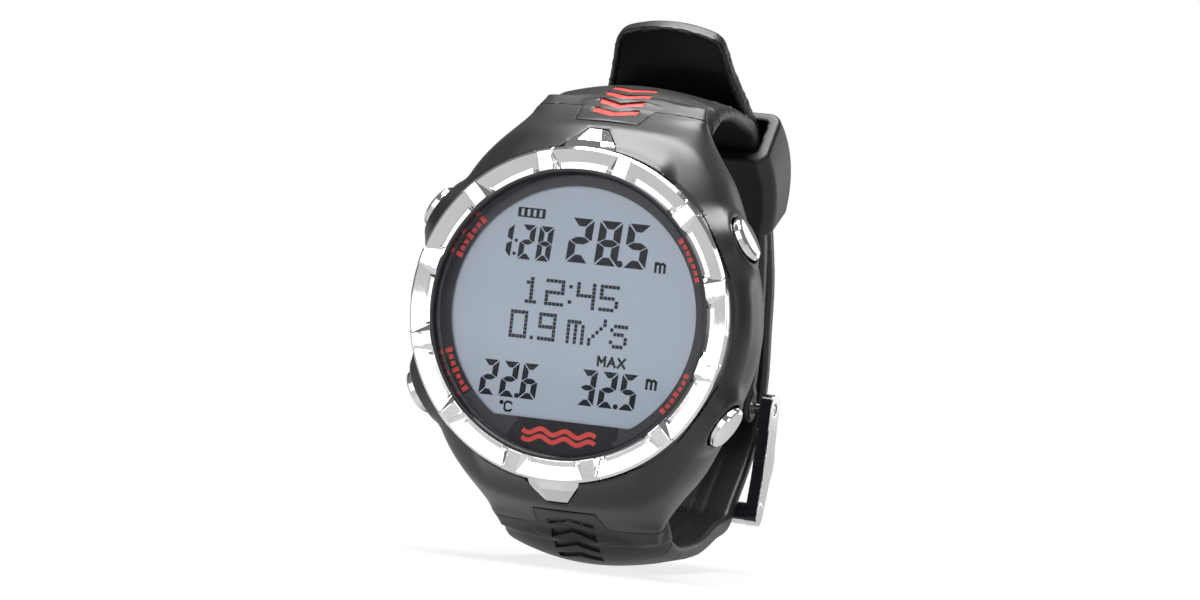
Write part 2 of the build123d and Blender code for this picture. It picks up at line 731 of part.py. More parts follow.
def main():
    os.makedirs("parts", exist_ok=True)
    envelope = case_envelope()
    lcd_top = LENS_TOP + 2.0
    pieces = {
        "case_body": case_body(envelope),
        "bezel": bezel(),
        "lens_ring": lens_ring(),
        "lens": lens(),
        "lens_gasket": lens_gasket(),
        "display_mask": display_mask(),
        "lcd_front_glass": lcd_glass(lcd_top, LCD_LEDGE_Z),
        "lcd_rear_glass": lcd_glass(lcd_top + LCD_GLASS, LCD_LEDGE_Z - 1.2),
        "backlight_panel": backlight(),
        "display_holder": display_holder(),
        "contact_strips": contact_strips(),
        "circuit_board": circuit_board(),
        "processor": processor(),
        "board_parts": board_parts(),
        "switch_contacts": switch_contacts(),
        "battery_tray": battery_tray(),
        "battery": battery(),
        "battery_clip": battery_clip(),
        "buzzer": buzzer(),
        "pressure_sensor": pressure_sensor(),
        "sensor_seal": sensor_seal(),
        "sensor_grille": sensor_grille(),
        "case_back": case_back(),
        "case_back_seal": back_seal(),
        "case_back_screws": back_screws(),
        "pusher_tubes": pusher_tubes(),
        "strap_upper": strap_upper(envelope),
        "strap_lower": strap_lower(envelope),
        "spring_bar_upper": spring_bar(1),
        "spring_bar_lower": spring_bar(-1),
        "buckle_pin": rod(*loop_point(PIN_DEG, PIN_PATH_R), PIN_R, ARM_OUTER_X - 0.1),
        "buckle_frame": buckle_frame(),
        "buckle_tongue": buckle_tongue(),
        "strap_keeper": keeper(),
    }
    for place, deg in PUSHER_ANGLES.items():
        pieces[f"pusher_{place}"] = radial(pusher(), deg)
        pieces[f"pusher_seal_{place}"] = radial(pusher_seal(), deg)
        pieces[f"pusher_clip_{place}"] = radial(pusher_clip(), deg)
        pieces[f"pusher_spring_{place}"] = radial(pusher_spring(), deg)
    for name, shape in pieces.items():
        write(name, shape)


main()
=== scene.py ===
"""Looks for the wrist dive computer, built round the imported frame.

Shapes are written in millimetres in the row frame: +X to three o'clock, +Z to twelve o'clock, the display
faces -Y, and depths run from the bezel's top plane towards the wrist. Curved pieces are solids given by a
function that is negative inside, and surface() turns them into meshes in metres."""

import json
from math import cos, hypot, pi, radians, sin, tan

import bpy
import numpy as np
from mathutils import Matrix, Vector

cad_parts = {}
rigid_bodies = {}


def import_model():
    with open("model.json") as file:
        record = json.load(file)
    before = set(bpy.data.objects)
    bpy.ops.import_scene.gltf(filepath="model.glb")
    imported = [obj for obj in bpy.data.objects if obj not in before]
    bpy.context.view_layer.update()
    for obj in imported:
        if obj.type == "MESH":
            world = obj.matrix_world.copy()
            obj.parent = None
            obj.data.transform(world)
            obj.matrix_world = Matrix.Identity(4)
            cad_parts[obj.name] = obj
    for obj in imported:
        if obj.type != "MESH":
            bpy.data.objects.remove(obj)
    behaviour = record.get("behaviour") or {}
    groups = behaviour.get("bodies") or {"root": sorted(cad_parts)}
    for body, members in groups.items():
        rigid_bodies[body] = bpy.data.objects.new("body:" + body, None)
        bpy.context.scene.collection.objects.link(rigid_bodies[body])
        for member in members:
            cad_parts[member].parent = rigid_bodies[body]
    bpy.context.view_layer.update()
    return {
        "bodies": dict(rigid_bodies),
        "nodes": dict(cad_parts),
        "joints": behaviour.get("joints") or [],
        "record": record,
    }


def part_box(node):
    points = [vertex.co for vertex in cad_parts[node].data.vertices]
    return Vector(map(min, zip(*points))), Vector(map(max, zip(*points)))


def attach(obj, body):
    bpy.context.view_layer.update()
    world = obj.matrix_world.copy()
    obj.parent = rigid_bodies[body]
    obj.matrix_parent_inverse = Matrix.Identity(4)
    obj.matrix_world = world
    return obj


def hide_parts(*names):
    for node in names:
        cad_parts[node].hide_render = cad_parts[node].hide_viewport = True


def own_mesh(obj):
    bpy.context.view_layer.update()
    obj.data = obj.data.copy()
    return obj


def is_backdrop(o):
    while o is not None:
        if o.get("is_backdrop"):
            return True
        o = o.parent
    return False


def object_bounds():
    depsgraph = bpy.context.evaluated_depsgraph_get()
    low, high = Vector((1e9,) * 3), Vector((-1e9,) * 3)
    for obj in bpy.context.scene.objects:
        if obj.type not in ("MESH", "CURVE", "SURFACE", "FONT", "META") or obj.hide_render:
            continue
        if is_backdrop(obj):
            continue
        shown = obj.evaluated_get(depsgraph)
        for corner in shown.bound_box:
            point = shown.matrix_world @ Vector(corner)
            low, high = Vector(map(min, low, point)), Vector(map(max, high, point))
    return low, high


MM = 0.001

# Case and bezel
CASE_DEPTH = 16.0
BEZEL_R = 22.5
BEZEL_INNER_R = 19.55
BEZEL_DEPTH = 2.8
BEZEL_RIM_R = 22.15
CONE_TOP = 0.75
CONE_SLOPE = 0.25
RIDGES = 12
FIRST_RIDGE_DEG = 15.0
RIDGE_HALF_WIDTH = 0.95
RIDGE_FLANK_DEG = 50.0
LEDGE_R = 20.45
LEDGE_DEPTH = 1.05
LUG_END_Y = -3.6
LUG_END_Z = 28.6
LUG_END_NORMAL = (0.3955, 0.9185)
LUG_ROUND = 3.2
LUG_LOW_POWER = 2.8
LUG_REACH = 2.5
LUG_BLEND = 5.5
SHOULDER_FALL = 0.8
CAVITY_R = 17.9
BACK_SEAT_R = 21.1
BACK_SEAT_DEPTH = 14.8
SEAM = 0.07
KEY_TIP_Z = 26.4
KEY_TIP_HALF = 4.4
KEY_LOW_Y = -2.4

# Window and display
LENS_R = 18.9
LENS_TOP = 0.95
LENS_LOW = 2.55
MASK_LOW = 2.7
WINDOW_R = 17.3
WINDOW_FLAT_Z = -14.3
LCD_TOP = 2.95
INK = 0.02
MARK_R = 18.15
MARK_PEN = 0.62

# Pushers
PUSHER_ANGLES = {"upper_right": 30.0, "lower_right": -30.0, "lower_left": 210.0, "upper_left": 150.0}
PUSHER_Y = -9.5
PUSHER_FACE_R = 26.0
PUSHER_CAP_R = 3.05
PUSHER_CAP_HEIGHT = 1.3
TUBE_OUTER_END = 22.1
BOSS_START = 19.5
BOSS_END = 24.7
BOSS_R = 4.0
BOSS_TAPER = 0.565
WELL_R = 3.35
WELL_FLOOR = 21.9
STEM_BORE_R = 1.9
STEM_BORE_END = 15.0

# Strap loop, buckle and keeper
LOOP_Y = -2.5
LOOP_Z = -4.0
INNER_LAYER_R = 41.2
OUTER_LAYER_R = 43.9
LAYER = 2.5
SPRING_BAR_Y = -0.9
SPRING_BAR_Z = 27.0
BARREL_R = 1.75
PATTERN_START = 4.6
PATTERN_PITCH = 2.7
GROOVE_DEPTH = 0.08
GROOVE_TURNS = 2 * pi / 2.0
TAIL_ARCH = 0.028
SLOT_HALF_WIDTH = 1.65
SLOT_HALF_LENGTH = 5.1
PIN_DEG = -9.2
PIN_PATH_R = 40.6
PIN_R = 0.8
PIN_HOLE_R = 0.86
PIN_BARREL_R = 2.2
TONGUE_EYE_R = 1.82
TONGUE_HALF_WIDTH = 1.2
BAR_DEG = -29.4
BAR_PATH_R = 43.75
ARM_INNER_X = 12.7
ARM_OUTER_X = 14.5
KEEPER_DEG = 39.45
KEEPER_HALF_DEG = 10.55

# Camera
CAMERA_AZIMUTH_DEG = 18.5
CAMERA_ROLL_DEG = 6.3
CAMERA_DISTANCE = 0.680
CAMERA_LENS = 152.9
AIM_RIGHT = 4.47
AIM_UP = 1.93

# How brightly the surround and the floor light the object, against 1 for how they show
SURROUND_LIGHT = 0.20
FLOOR_LIGHT = 0.6

# Where each soft box stands, its width and height, in metres, and how bright its face is
SOFT_BOXES = {
    "top": ((0.0, 0.05, 1.0), (0.8, 0.85), 9.5),
    "front": ((-0.5, -1.6, 0.4), (3.0, 1.4), 1.35),
    "right": ((1.1, -0.5, 0.35), (0.25, 0.9), 1.6),
    "back": ((0.55, 1.5, 0.15), (0.7, 0.9), 1.1),
}


# ------------------------ solids by function


# What a solid's function gives well outside it, in millimetres
OUTSIDE = 9.0


def join(a, b, blend=0.0):
    """Both solids together, with a fillet of about that size between them."""
    if not blend:
        return np.minimum(a, b)
    share = np.clip(0.5 + 0.5 * (b - a) / blend, 0, 1)
    return b + (a - b) * share - blend * share * (1 - share)


def common(a, b, blend=0.0):
    """Where both solids are."""
    return -join(-a, -b, blend)


def less(a, b, blend=0.0):
    """The first solid without the second."""
    return -join(-a, b, blend)


def box2(u, v, half_u, half_v, corner):
    """A rounded rectangle about the origin, in any two coordinates."""
    du = np.abs(u) - (half_u - corner)
    dv = np.abs(v) - (half_v - corner)
    outside = np.hypot(np.maximum(du, 0), np.maximum(dv, 0))
    return outside + np.minimum(np.maximum(du, dv), 0) - corner


def smooth_table(knots, values, count=600):
    """A smooth curve through the given values, as a function of the first coordinate."""
    knots = np.asarray(knots, float)
    values = np.asarray(values, float)
    slope = np.gradient(values, knots)
    at = np.linspace(knots[0], knots[-1], count)
    k = np.clip(np.searchsorted(knots, at, side="right") - 1, 0, len(knots) - 2)
    width = knots[k + 1] - knots[k]
    t = (at - knots[k]) / width
    a = (1 + 2 * t) * (1 - t) ** 2 * values[k] + t * (1 - t) ** 2 * width * slope[k]
    b = t * t * (3 - 2 * t) * values[k + 1] + t * t * (t - 1) * width * slope[k + 1]
    return lambda x: np.interp(x, at, a + b)


def slopes(shape, points):
    """Unit outward directions at points, and how fast the function grows there."""
    step = 0.01
    grown = np.empty_like(points)
    for axis in range(3):
        shift = np.zeros(3)
        shift[axis] = step
        ahead = shape(*(points + shift).T)
        behind = shape(*(points - shift).T)
        grown[:, axis] = (ahead - behind) / (2 * step)
    length = np.maximum(np.linalg.norm(grown, axis=1), 1e-6)
    return grown / length[:, None], length


def straight(a, b, c):
    """Grid coordinates that are X, Y and Z."""
    return a, b, c


def polar(a, b, c):
    """Grid coordinates that are an angle, a radius and a depth about the dial."""
    return b * np.cos(a), c - CASE_DEPTH + 0 * a, b * np.sin(a)


def sample(shape, axes, place):
    """The function's values over the grid, worked out in slabs."""
    slabs = []
    size = (len(axes[1]), len(axes[2]))
    for start in range(0, len(axes[0]), 16):
        first = axes[0][start:start + 16]
        where = place(first[:, None, None], axes[1][None, :, None], axes[2][None, None, :])
        slabs.append(np.broadcast_to(shape(*where), (len(first), *size)).astype(np.float32))
    return np.concatenate(slabs)


def crossings(shape, values, axes, place, axis, cell, wrap):
    """Where the surface cuts the grid's edges along one axis: points, directions, cells round each."""
    inside = values < 0
    near = [slice(None)] * 3
    far = [slice(None)] * 3
    near[axis] = slice(None, -1)
    far[axis] = slice(1, None)
    index = np.argwhere(inside[tuple(near)] != inside[tuple(far)])
    if wrap and axis:
        index = index[index[:, 0] < len(axes[0]) - 1]
    ahead = index.copy()
    ahead[:, axis] += 1
    first = values[tuple(index.T)].astype(float)
    second = values[tuple(ahead.T)].astype(float)
    grid = index.astype(float)
    grid[:, axis] += first / (first - second)
    spots = [np.interp(grid[:, n], np.arange(len(axes[n])), axes[n]) for n in range(3)]
    points = np.stack(place(*spots), axis=1)
    for _ in range(2):
        out, length = slopes(shape, points)
        move = np.clip(shape(*points.T) / length, -cell / 2, cell / 2)
        points = points - out * move[:, None]
    out, _ = slopes(shape, points)
    cells = np.repeat(index[:, None, :], 4, axis=1)
    cells[:, (0, 3), (axis + 1) % 3] -= 1
    cells[:, (0, 1), (axis + 2) % 3] -= 1
    if wrap:
        cells[:, :, 0] %= len(axes[0]) - 1
    flip = ~(first < 0)
    cells[flip] = cells[flip][:, ::-1]
    return points, out, cells


def surface(shape, low, high, cell, place=straight, wrap=False, steps=None):
    """Vertices and quads of the solid's surface, with a vertex on each crisp edge and corner."""
    steps = steps or [cell] * 3
    counts = [int(np.ceil((high[n] - low[n]) / steps[n])) + 1 for n in range(3)]
    axes = [np.linspace(low[n], high[n], counts[n]) for n in range(3)]
    values = sample(shape, axes, place)
    for n in range(1 if wrap else 0, 3):
        np.moveaxis(values, n, 0)[[0, -1]] = 1.0
    found = [crossings(shape, values, axes, place, axis, cell, wrap) for axis in range(3)]
    points = np.concatenate([f[0] for f in found])
    out = np.concatenate([f[1] for f in found])
    cells = np.concatenate([f[2] for f in found])
    keys = np.ravel_multi_index(tuple(np.moveaxis(cells, 2, 0)), values.shape)
    _, faces = np.unique(keys, return_inverse=True)
    faces = faces.reshape(-1, 4)
    total = faces.max() + 1
    owner = faces.ravel()

    def gather(amount):
        return np.bincount(owner, weights=amount, minlength=total)

    number = gather(np.ones(len(owner)))
    spread = np.repeat(points, 4, axis=0)
    normal = np.repeat(out, 4, axis=0)
    middle = np.stack([gather(spread[:, n]) / number for n in range(3)], axis=1)
    lift = np.einsum("ij,ij->i", normal, spread - middle[owner])
    right = np.stack([gather(normal[:, n] * lift) for n in range(3)], axis=1)
    left = np.empty((total, 3, 3))
    for i in range(3):
        for j in range(3):
            left[:, i, j] = gather(normal[:, i] * normal[:, j])
        left[:, i, i] += 0.04 * number
    shift = np.linalg.solve(left, right[:, :, None])[:, :, 0]
    length = np.maximum(np.linalg.norm(shift, axis=1), 1e-9)
    shift *= np.minimum(1, 0.7 * cell / length)[:, None]
    return middle + shift, faces


# ------------------------ meshes


def mesh_piece(name, points, faces, crease_deg=None):
    """An object from points in millimetres, smooth, with edges sharper than the crease left crisp."""
    mesh = bpy.data.meshes.new(name)
    mesh.from_pydata((np.asarray(points) * MM).tolist(), [], [list(map(int, f)) for f in faces])
    mesh.validate()
    mesh.shade_smooth()
    if crease_deg:
        mesh.set_sharp_from_angle(angle=radians(crease_deg))
    piece = bpy.data.objects.new(name, mesh)
    bpy.context.scene.collection.objects.link(piece)
    return piece


def lathe_mesh(profile, steps, origin, axis):
    """Points and faces of a closed (radius, height) profile turned about an axis through the origin."""
    axis = Vector(axis).normalized()
    side = axis.orthogonal().normalized()
    turn = axis.cross(side)
    rings, points = [], []
    for radius, height in profile:
        centre = Vector(origin) + axis * height
        if radius < 1e-6:
            rings.append([len(points)])
            points.append(centre)
            continue
        rings.append(list(range(len(points), len(points) + steps)))
        for k in range(steps):
            angle = 2 * pi * k / steps
            points.append(centre + side * (radius * cos(angle)) + turn * (radius * sin(angle)))
    faces = []
    for a, b in zip(rings, rings[1:] + rings[:1]):
        if len(a) == 1 and len(b) == 1:
            continue
        for k in range(steps):
            n = (k + 1) % steps
            corners = [a[k % len(a)], a[n % len(a)], b[n % len(b)], b[k % len(b)]]
            faces.append(list(dict.fromkeys(corners)))
    return points, faces


def rounded(profile, corners):
    """A profile with some of its corners, given as {index: radius}, turned into short arcs."""
    points = []
    for k, corner in enumerate(profile):
        radius = corners.get(k)
        if not radius:
            points.append(corner)
            continue
        here = np.array(corner)
        back = np.array(profile[k - 1]) - here
        ahead = np.array(profile[(k + 1) % len(profile)]) - here
        back /= np.linalg.norm(back)
        ahead /= np.linalg.norm(ahead)
        for t in np.linspace(0, 1, 6):
            a = here + back * radius * (1 - t)
            b = here + ahead * radius * t
            points.append(tuple(a + (b - a) * t))
    return points


def lathe_piece(name, profile, steps=128, origin=(0, 0, 0), axis=(0, 1, 0), crease_deg=30):
    """A turned object."""
    return mesh_piece(name, *lathe_mesh(profile, steps, origin, axis), crease_deg)


def swept(rings, closed=False):
    """Points and faces of a skin through rings of points, either closed on itself or capped at both ends."""
    count = len(rings[0])
    points = [point for ring in rings for point in ring]
    faces = []
    if not closed:
        faces = [list(range(count))[::-1], list(range(len(points) - count, len(points)))]
    for r in range(len(rings) if closed else len(rings) - 1):
        start, ahead = r * count, (r + 1) % len(rings) * count
        for k in range(count):
            n = (k + 1) % count
            faces.append([start + k, start + n, ahead + n, ahead + k])
    return points, faces


def at_depth(outline, depth):
    """Points in X and Z set at a depth below the bezel's top."""
    return [(x, depth - CASE_DEPTH, z) for x, z in outline]


def prism(outline, top, bottom):
    """Points and faces of a flat outline in X and Z, between two depths."""
    return swept([at_depth(outline, bottom), at_depth(outline, top)])


def merged(parts):
    """Several lots of points and faces as one lot."""
    points, faces = [], []
    for part_points, part_faces in parts:
        start = len(points)
        points += part_points
        faces += [[start + v for v in f] for f in part_faces]
    return points, faces


# ------------------------ case


FLANK_R = smooth_table([0, 2.8, 3.7, 5.2, 7.5, 10.5, 12.8, 14.5, 15.4, 15.8],
                       [22.2, 22.5, 23.2, 23.85, 24.1, 24.1, 23.7, 22.9, 22.0, 21.4])
LUG_Z = [0, 8, 15, 20, 23, 25.2, 27.0, 28.6, 29.6, 31.0]
LUG_HALF = smooth_table(LUG_Z, [17.8, 18.0, 18.0, 16.8, 14.9, 13.5, 12.5, 11.9, 11.7, 11.4])
LUG_TOP = smooth_table(LUG_Z, [2.7, 2.7, 2.7, 2.9, 3.5, 5.9, 9.3, 12.4, 14.2, 16.6])
LUG_LOW = smooth_table(LUG_Z, [15.5, 15.5, 15.6, 15.9, 16.3, 16.7, 17.0, 17.1, 17.2, 17.3])
LUG_POWER = smooth_table(LUG_Z, [3.0, 3.0, 3.0, 3.0, 2.8, 2.5, 2.25, 2.1, 2.05, 2.0])


def lugs(x, y, z):
    """Both ends of the case, out past the strap joints."""
    height = np.abs(z)
    half, top, low = LUG_HALF(height), LUG_TOP(height), LUG_LOW(height)
    waist = low - np.minimum(LUG_ROUND, (low - top) / 2)
    drop = y + CASE_DEPTH - waist
    power = np.where(drop < 0, LUG_POWER(height), LUG_LOW_POWER)
    tall = np.where(drop < 0, waist - top, low - waist)
    across = np.abs(x) / half
    grown = (across ** power + (np.abs(drop) / tall) ** power) ** (1 / power)
    reach = np.hypot(x, drop)
    return reach - reach / np.maximum(grown, 1e-3)


def case_block(x, y, z):
    """The round middle of the case and its two ends as one shape."""
    down = y + CASE_DEPTH
    flank = (np.hypot(x, z) - FLANK_R(down)) * 0.9
    whole = join(flank, common(lugs(x, y, z), end_plane(y, z) - LUG_REACH), LUG_BLEND)
    shoulder = BEZEL_DEPTH - 0.05 + SHOULDER_FALL * np.maximum(np.hypot(x, z) - BEZEL_R - 0.2, 0)
    whole = common(whole, (shoulder - down) * 0.78, 0.8)
    return common(whole, down - LUG_LOW(np.abs(z)) - 0.1, 0.5)


def pusher_frame(x, y, z, deg):
    """How far out along a pusher's axis, and how far from it."""
    c, s = cos(radians(deg)), sin(radians(deg))
    return x * c + z * s, np.hypot(z * c - x * s, y - PUSHER_Y)


def end_plane(y, z):
    """How far beyond the plane where the strap meets the case."""
    return (y - LUG_END_Y) * LUG_END_NORMAL[0] + (np.abs(z) - LUG_END_Z) * LUG_END_NORMAL[1]


def spring_bar_gap(y, z):
    """How far from the middle of the nearer spring bar."""
    return np.hypot(y - SPRING_BAR_Y, np.abs(z) - SPRING_BAR_Z)


def tab_outline(x, z):
    """The tapered tongue of the strap that keys into the case, negative inside."""
    height = np.abs(z)
    half = KEY_TIP_HALF + (height - KEY_TIP_Z) * 0.3167
    return common((np.abs(x) - half) * 0.953, KEY_TIP_Z - height)


class Band:
    """A strap half: a rounded section carried along a smooth curve in the YZ plane."""

    SPACING = 0.2
    CELL = 0.25

    def __init__(self, rows, side):
        """Rows of outer Y and Z, thickness, half width, crown and corner radius."""
        rows = np.array(rows, float)
        steps = np.hypot(np.diff(rows[:, 0]), np.diff(rows[:, 1]))
        knots = np.concatenate([[0], np.cumsum(steps)])
        self.length = knots[-1]
        self.at = np.arange(0, self.length, self.SPACING)
        tables = [smooth_table(knots, rows[:, n], 4000)(self.at) for n in range(6)]
        self.y, self.z, self.thick, self.half, self.crown, self.corner = tables
        ty, tz = np.gradient(self.y), np.gradient(self.z)
        size = np.hypot(ty, tz)
        self.ty, self.tz = ty / size, tz / size
        self.ny, self.nz = side * -self.tz, side * self.ty
        self.low = (self.y.min() - 8, self.z.min() - 8)
        high = (self.y.max() + 8, self.z.max() + 8)
        counts = [int((top - bottom) / self.CELL) for bottom, top in zip(self.low, high)]
        gy = self.low[0] + self.CELL * np.arange(counts[0])
        gz = self.low[1] + self.CELL * np.arange(counts[1])
        self.nearest = np.empty(counts, int)
        for k, y in enumerate(gy):
            gap = (y - self.y[None, :]) ** 2 + (gz[:, None] - self.z[None, :]) ** 2
            self.nearest[k] = gap.argmin(axis=1)

    def locate(self, y, z):
        """The sample beside a place, how far along the curve it is and how far outside the outer face."""
        y, z = np.broadcast_arrays(y, z)
        row = np.clip(((y - self.low[0]) / self.CELL + 0.5).astype(int), 0, self.nearest.shape[0] - 1)
        col = np.clip(((z - self.low[1]) / self.CELL + 0.5).astype(int), 0, self.nearest.shape[1] - 1)
        k = self.nearest[row, col]
        dy, dz = y - self.y[k], z - self.z[k]
        along = dy * self.ty[k] + dz * self.tz[k]
        return k, self.at[k] + along, dy * self.ny[k] + dz * self.nz[k]

    def section(self, x, y, z, grooves=0.0):
        """The strap itself, without its ends."""
        k, along, out = self.locate(y, z)
        half, thick, crown, corner = self.half[k], self.thick[k], self.crown[k], self.corner[k]
        cut = (0.5 + 0.5 * np.cos(x * GROOVE_TURNS)) ** 2
        inner = thick - grooves * cut * (np.abs(x) < half - 2.5)
        rise = (x / half) ** 2
        upper = -crown * rise
        lower = -inner - 0.6 * crown * rise
        shape = box2(x, out - (upper + lower) / 2, half, (upper - lower) / 2, corner)
        return shape, along, out


def loop_point(deg, radius):
    """The Y and Z of a point about the strap loop's centre."""
    return LOOP_Y + radius * cos(radians(deg)), LOOP_Z + radius * sin(radians(deg))


PIN = loop_point(PIN_DEG, PIN_PATH_R)
BAR = loop_point(BAR_DEG, BAR_PATH_R)


def arc_rows(start, stop, steps, outer, half_widths):
    """Rows that follow the loop's circle."""
    rows = []
    for share in np.linspace(0, 1, steps + 1):
        half = half_widths[0] + (half_widths[1] - half_widths[0]) * share
        rows.append((*loop_point(start + (stop - start) * share, outer), LAYER, half, 0.12, 0.7))
    return rows


# Rows of the strap: outer Y and Z, thickness, half width, crown and corner radius
UPPER_OVER = [
    (-10.1, 25.2, 4.5, 11.7, 2.6, 1.9),
    (-6.7, 27.0, 4.4, 11.8, 2.6, 1.9),
    (-3.6, 28.6, 4.1, 11.9, 2.6, 1.9),
    (-1.3, 30.2, 3.9, 12.05, 2.6, 1.8),
    (3.0, 31.9, 3.2, 12.2, 2.4, 1.4),
    (9.0, 32.2, 2.7, 12.2, 1.7, 1.1),
    (15.6, 31.1, LAYER, 12.1, 0.8, 0.9),
]
LOWER_UNDER = [(y, -z, *rest) for y, z, *rest in UPPER_OVER[:3]]
LOWER_UNDER += [
    (-1.7, -30.8, 4.1, 12.1, 2.7, 1.8),
    (1.4, -32.9, 3.6, 12.2, 2.7, 1.5),
    (6.0, -33.8, 3.0, 12.2, 2.4, 1.2),
    (12.5, -33.2, 2.7, 12.1, 1.6, 0.9),
    (18.5, -31.9, LAYER, 12.0, 0.8, 0.8),
    (25.0, -29.6, LAYER, 11.9, 0.3, 0.7),
]

# Angle, outer radius, thickness and half width of the long half, through the buckle and in the free tail
BUCKLE_CROSSING = [
    (-35, 41.3, LAYER, 11.7),
    (-29.4, 41.9, 2.3, 11.7),
    (-20.5, 43.8, 2.1, 11.7),
    (-13, 45.4, 2.1, 11.7),
    (-3, 45.5, 2.3, 11.7),
    (6, 44.6, LAYER, 11.7),
]
TAIL = [
    (56, 44.5, LAYER, 10.2),
    (61.8, 46.1, 2.4, 8.9),
    (66.0, 48.1, 2.3, 8.0),
    (69.0, 49.75, 2.2, 7.2),
]


def loop_rows(rows):
    """Rows given by an angle and a radius about the strap loop's centre."""
    return [(*loop_point(deg, outer), thick, half, 0.12, 0.7) for deg, outer, thick, half in rows]


def upper_band():
    """The short half: out of the case, over the top and down the back to the buckle."""
    return Band(UPPER_OVER + arc_rows(54, -7, 8, INNER_LAYER_R, (12.0, 11.2)), 1)


def lower_band():
    """The long half: out of the case, through the buckle, up outside the short half and out as the tail."""
    up_the_back = arc_rows(16, 50, 5, OUTER_LAYER_R, (11.9, 11.1))
    return Band(LOWER_UNDER + loop_rows(BUCKLE_CROSSING) + up_the_back + loop_rows(TAIL), -1)


def outer_envelope(bands):
    """The case with its lugs and the first part of each strap half, blended into one shape."""
    def shape(x, y, z):
        body = case_block(x, y, z)
        for side, band in bands.items():
            strip, _, _ = band.section(x, y, z)
            strip = common(strip, end_plane(y, z) - LUG_REACH)
            strip = np.where(side * z > 15, strip, OUTSIDE)
            body = join(body, strip, 1.2)
        return body
    return shape


def case_shape(envelope):
    """The moulded case: the envelope with bosses, less the wells, the bezel's seat and the keyed ends."""
    def shape(x, y, z):
        down = y + CASE_DEPTH
        radius = np.hypot(x, z)
        body = envelope(x, y, z)
        for deg in PUSHER_ANGLES.values():
            along, away = pusher_frame(x, y, z, deg)
            cone = (away - BOSS_R - (BOSS_END - along) * BOSS_TAPER) * 0.87
            cone = common(cone, BOSS_START - along)
            body = join(body, common(cone, along - BOSS_END, 0.5), 1.8)
        body = less(body, common(radius - BEZEL_R - 0.06, down - BEZEL_DEPTH), 0.12)
        body = less(body, common(radius - BEZEL_INNER_R, down - 3.0))
        body = less(body, radius - CAVITY_R)
        body = less(body, common(radius - BACK_SEAT_R, BACK_SEAT_DEPTH - down), 0.15)
        for deg in PUSHER_ANGLES.values():
            along, away = pusher_frame(x, y, z, deg)
            body = less(body, common(away - WELL_R, WELL_FLOOR - along), 0.3)
            body = less(body, common(away - STEM_BORE_R, STEM_BORE_END - along))
        key = common(tab_outline(x, z) - SEAM, y - KEY_LOW_Y)
        body = common(body, end_plane(y, z) + SEAM / 2, 0.25)
        body = less(body, key, 0.2)
        pocket = common(spring_bar_gap(y, z) - BARREL_R - 0.2, np.abs(x) - 10.1)
        return less(less(body, pocket), bezel_tab_room(x, down, z) - 0.06, 0.1)
    return shape


def strap_root(envelope, section, x, y, z):
    """A strap half where it meets the case: keyed tongue, joint face and spring bar barrel."""
    past = end_plane(y, z)
    outer = envelope(x, y, z)
    beyond = common(outer + 0.15 * np.maximum(past, 0), SEAM / 2 - past, 0.2)
    key = common(common(outer, tab_outline(x, z), 0.2), y - KEY_LOW_Y)
    root = join(beyond, key, 0.3)
    tube = common(section, SEAM / 2 - past, 0.2)
    bar = spring_bar_gap(y, z)
    barrel_round = common(bar - BARREL_R, np.abs(x) - 9.9, 0.3)
    return less(join(join(root, tube, 1.2), barrel_round, 0.8), bar - 0.95)


def chevrons(x, along):
    """Four chevrons, negative inside: a plain sunk pattern along the middle of a strap half."""
    shape = OUTSIDE
    for k in range(4):
        stroke = box2(x, along - PATTERN_START - PATTERN_PITCH * k - np.abs(x) * 0.45, 3.2, 0.75, 0.1)
        shape = join(shape, stroke)
    return shape


def strap_upper_shape(envelope, band):
    """The short half, ending in the barrel that the buckle pin runs through."""
    pin_y, pin_z = PIN

    def shape(x, y, z):
        section, along, out = band.section(x, y, z, GROOVE_DEPTH)
        section = common(section, along - band.length + 0.3, 0.6)
        pin = np.hypot(y - pin_y, z - pin_z)
        section = join(section, common(pin - PIN_BARREL_R, np.abs(x) - 11.2, 0.6), 1.0)
        body = np.where(z > 14, strap_root(envelope, section, x, y, z), section)
        body = less(body, pin - 0.85)
        notch = box2(y - pin_y, z - pin_z + 1.0, 3.5, 3.2, 0.4)
        body = less(body, common(notch, np.abs(x) - 1.6), 0.2)
        sunk = common(chevrons(x, along), -body - 0.4)
        return less(body, np.where((z > 20) & (out > -1.0), sunk, OUTSIDE))
    return shape


SLOT_STATIONS = [(20.6, -30.1), (31.4, -25.2), (39.15, -15.64)]
SLOT_STATIONS += [loop_point(deg, OUTER_LAYER_R - 1.0) for deg in (0, 16, 32, 48)]


def strap_lower_shape(envelope, band):
    """The long half with its adjustment slots and rounded tail."""
    stations = [float(band.locate(np.array(y), np.array(z))[1]) for y, z in SLOT_STATIONS]

    def shape(x, y, z):
        section, along, out = band.section(x, y, z, GROOVE_DEPTH)
        k, _, _ = band.locate(y, z)
        arch = TAIL_ARCH * x * x
        from_tip = along - (band.length - 0.2)
        tip = box2(x, from_tip + 10, band.half[k] + 0.2, 10.0 - arch, 1.6)
        section = common(section, np.where(from_tip > -8, tip, -OUTSIDE), 0.5)
        recess = box2(x, from_tip + 9.2, band.half[k] - 1.0, 8.5 - arch, 1.2)
        recess = common(recess, out + band.thick[k] - 0.35)
        section = less(section, np.where(from_tip > -16, recess, OUTSIDE), 0.2)
        for station in stations:
            slot = box2(x, along - station, SLOT_HALF_WIDTH, SLOT_HALF_LENGTH, 0.4)
            section = less(section, slot, 0.3)
        body = np.where(z < -14, strap_root(envelope, section, x, y, z), section)
        sunk = common(chevrons(x, along), -body - 0.4)
        return less(body, np.where((z < -20) & (out > -1.0) & (y < 6), sunk, OUTSIDE))
    return shape


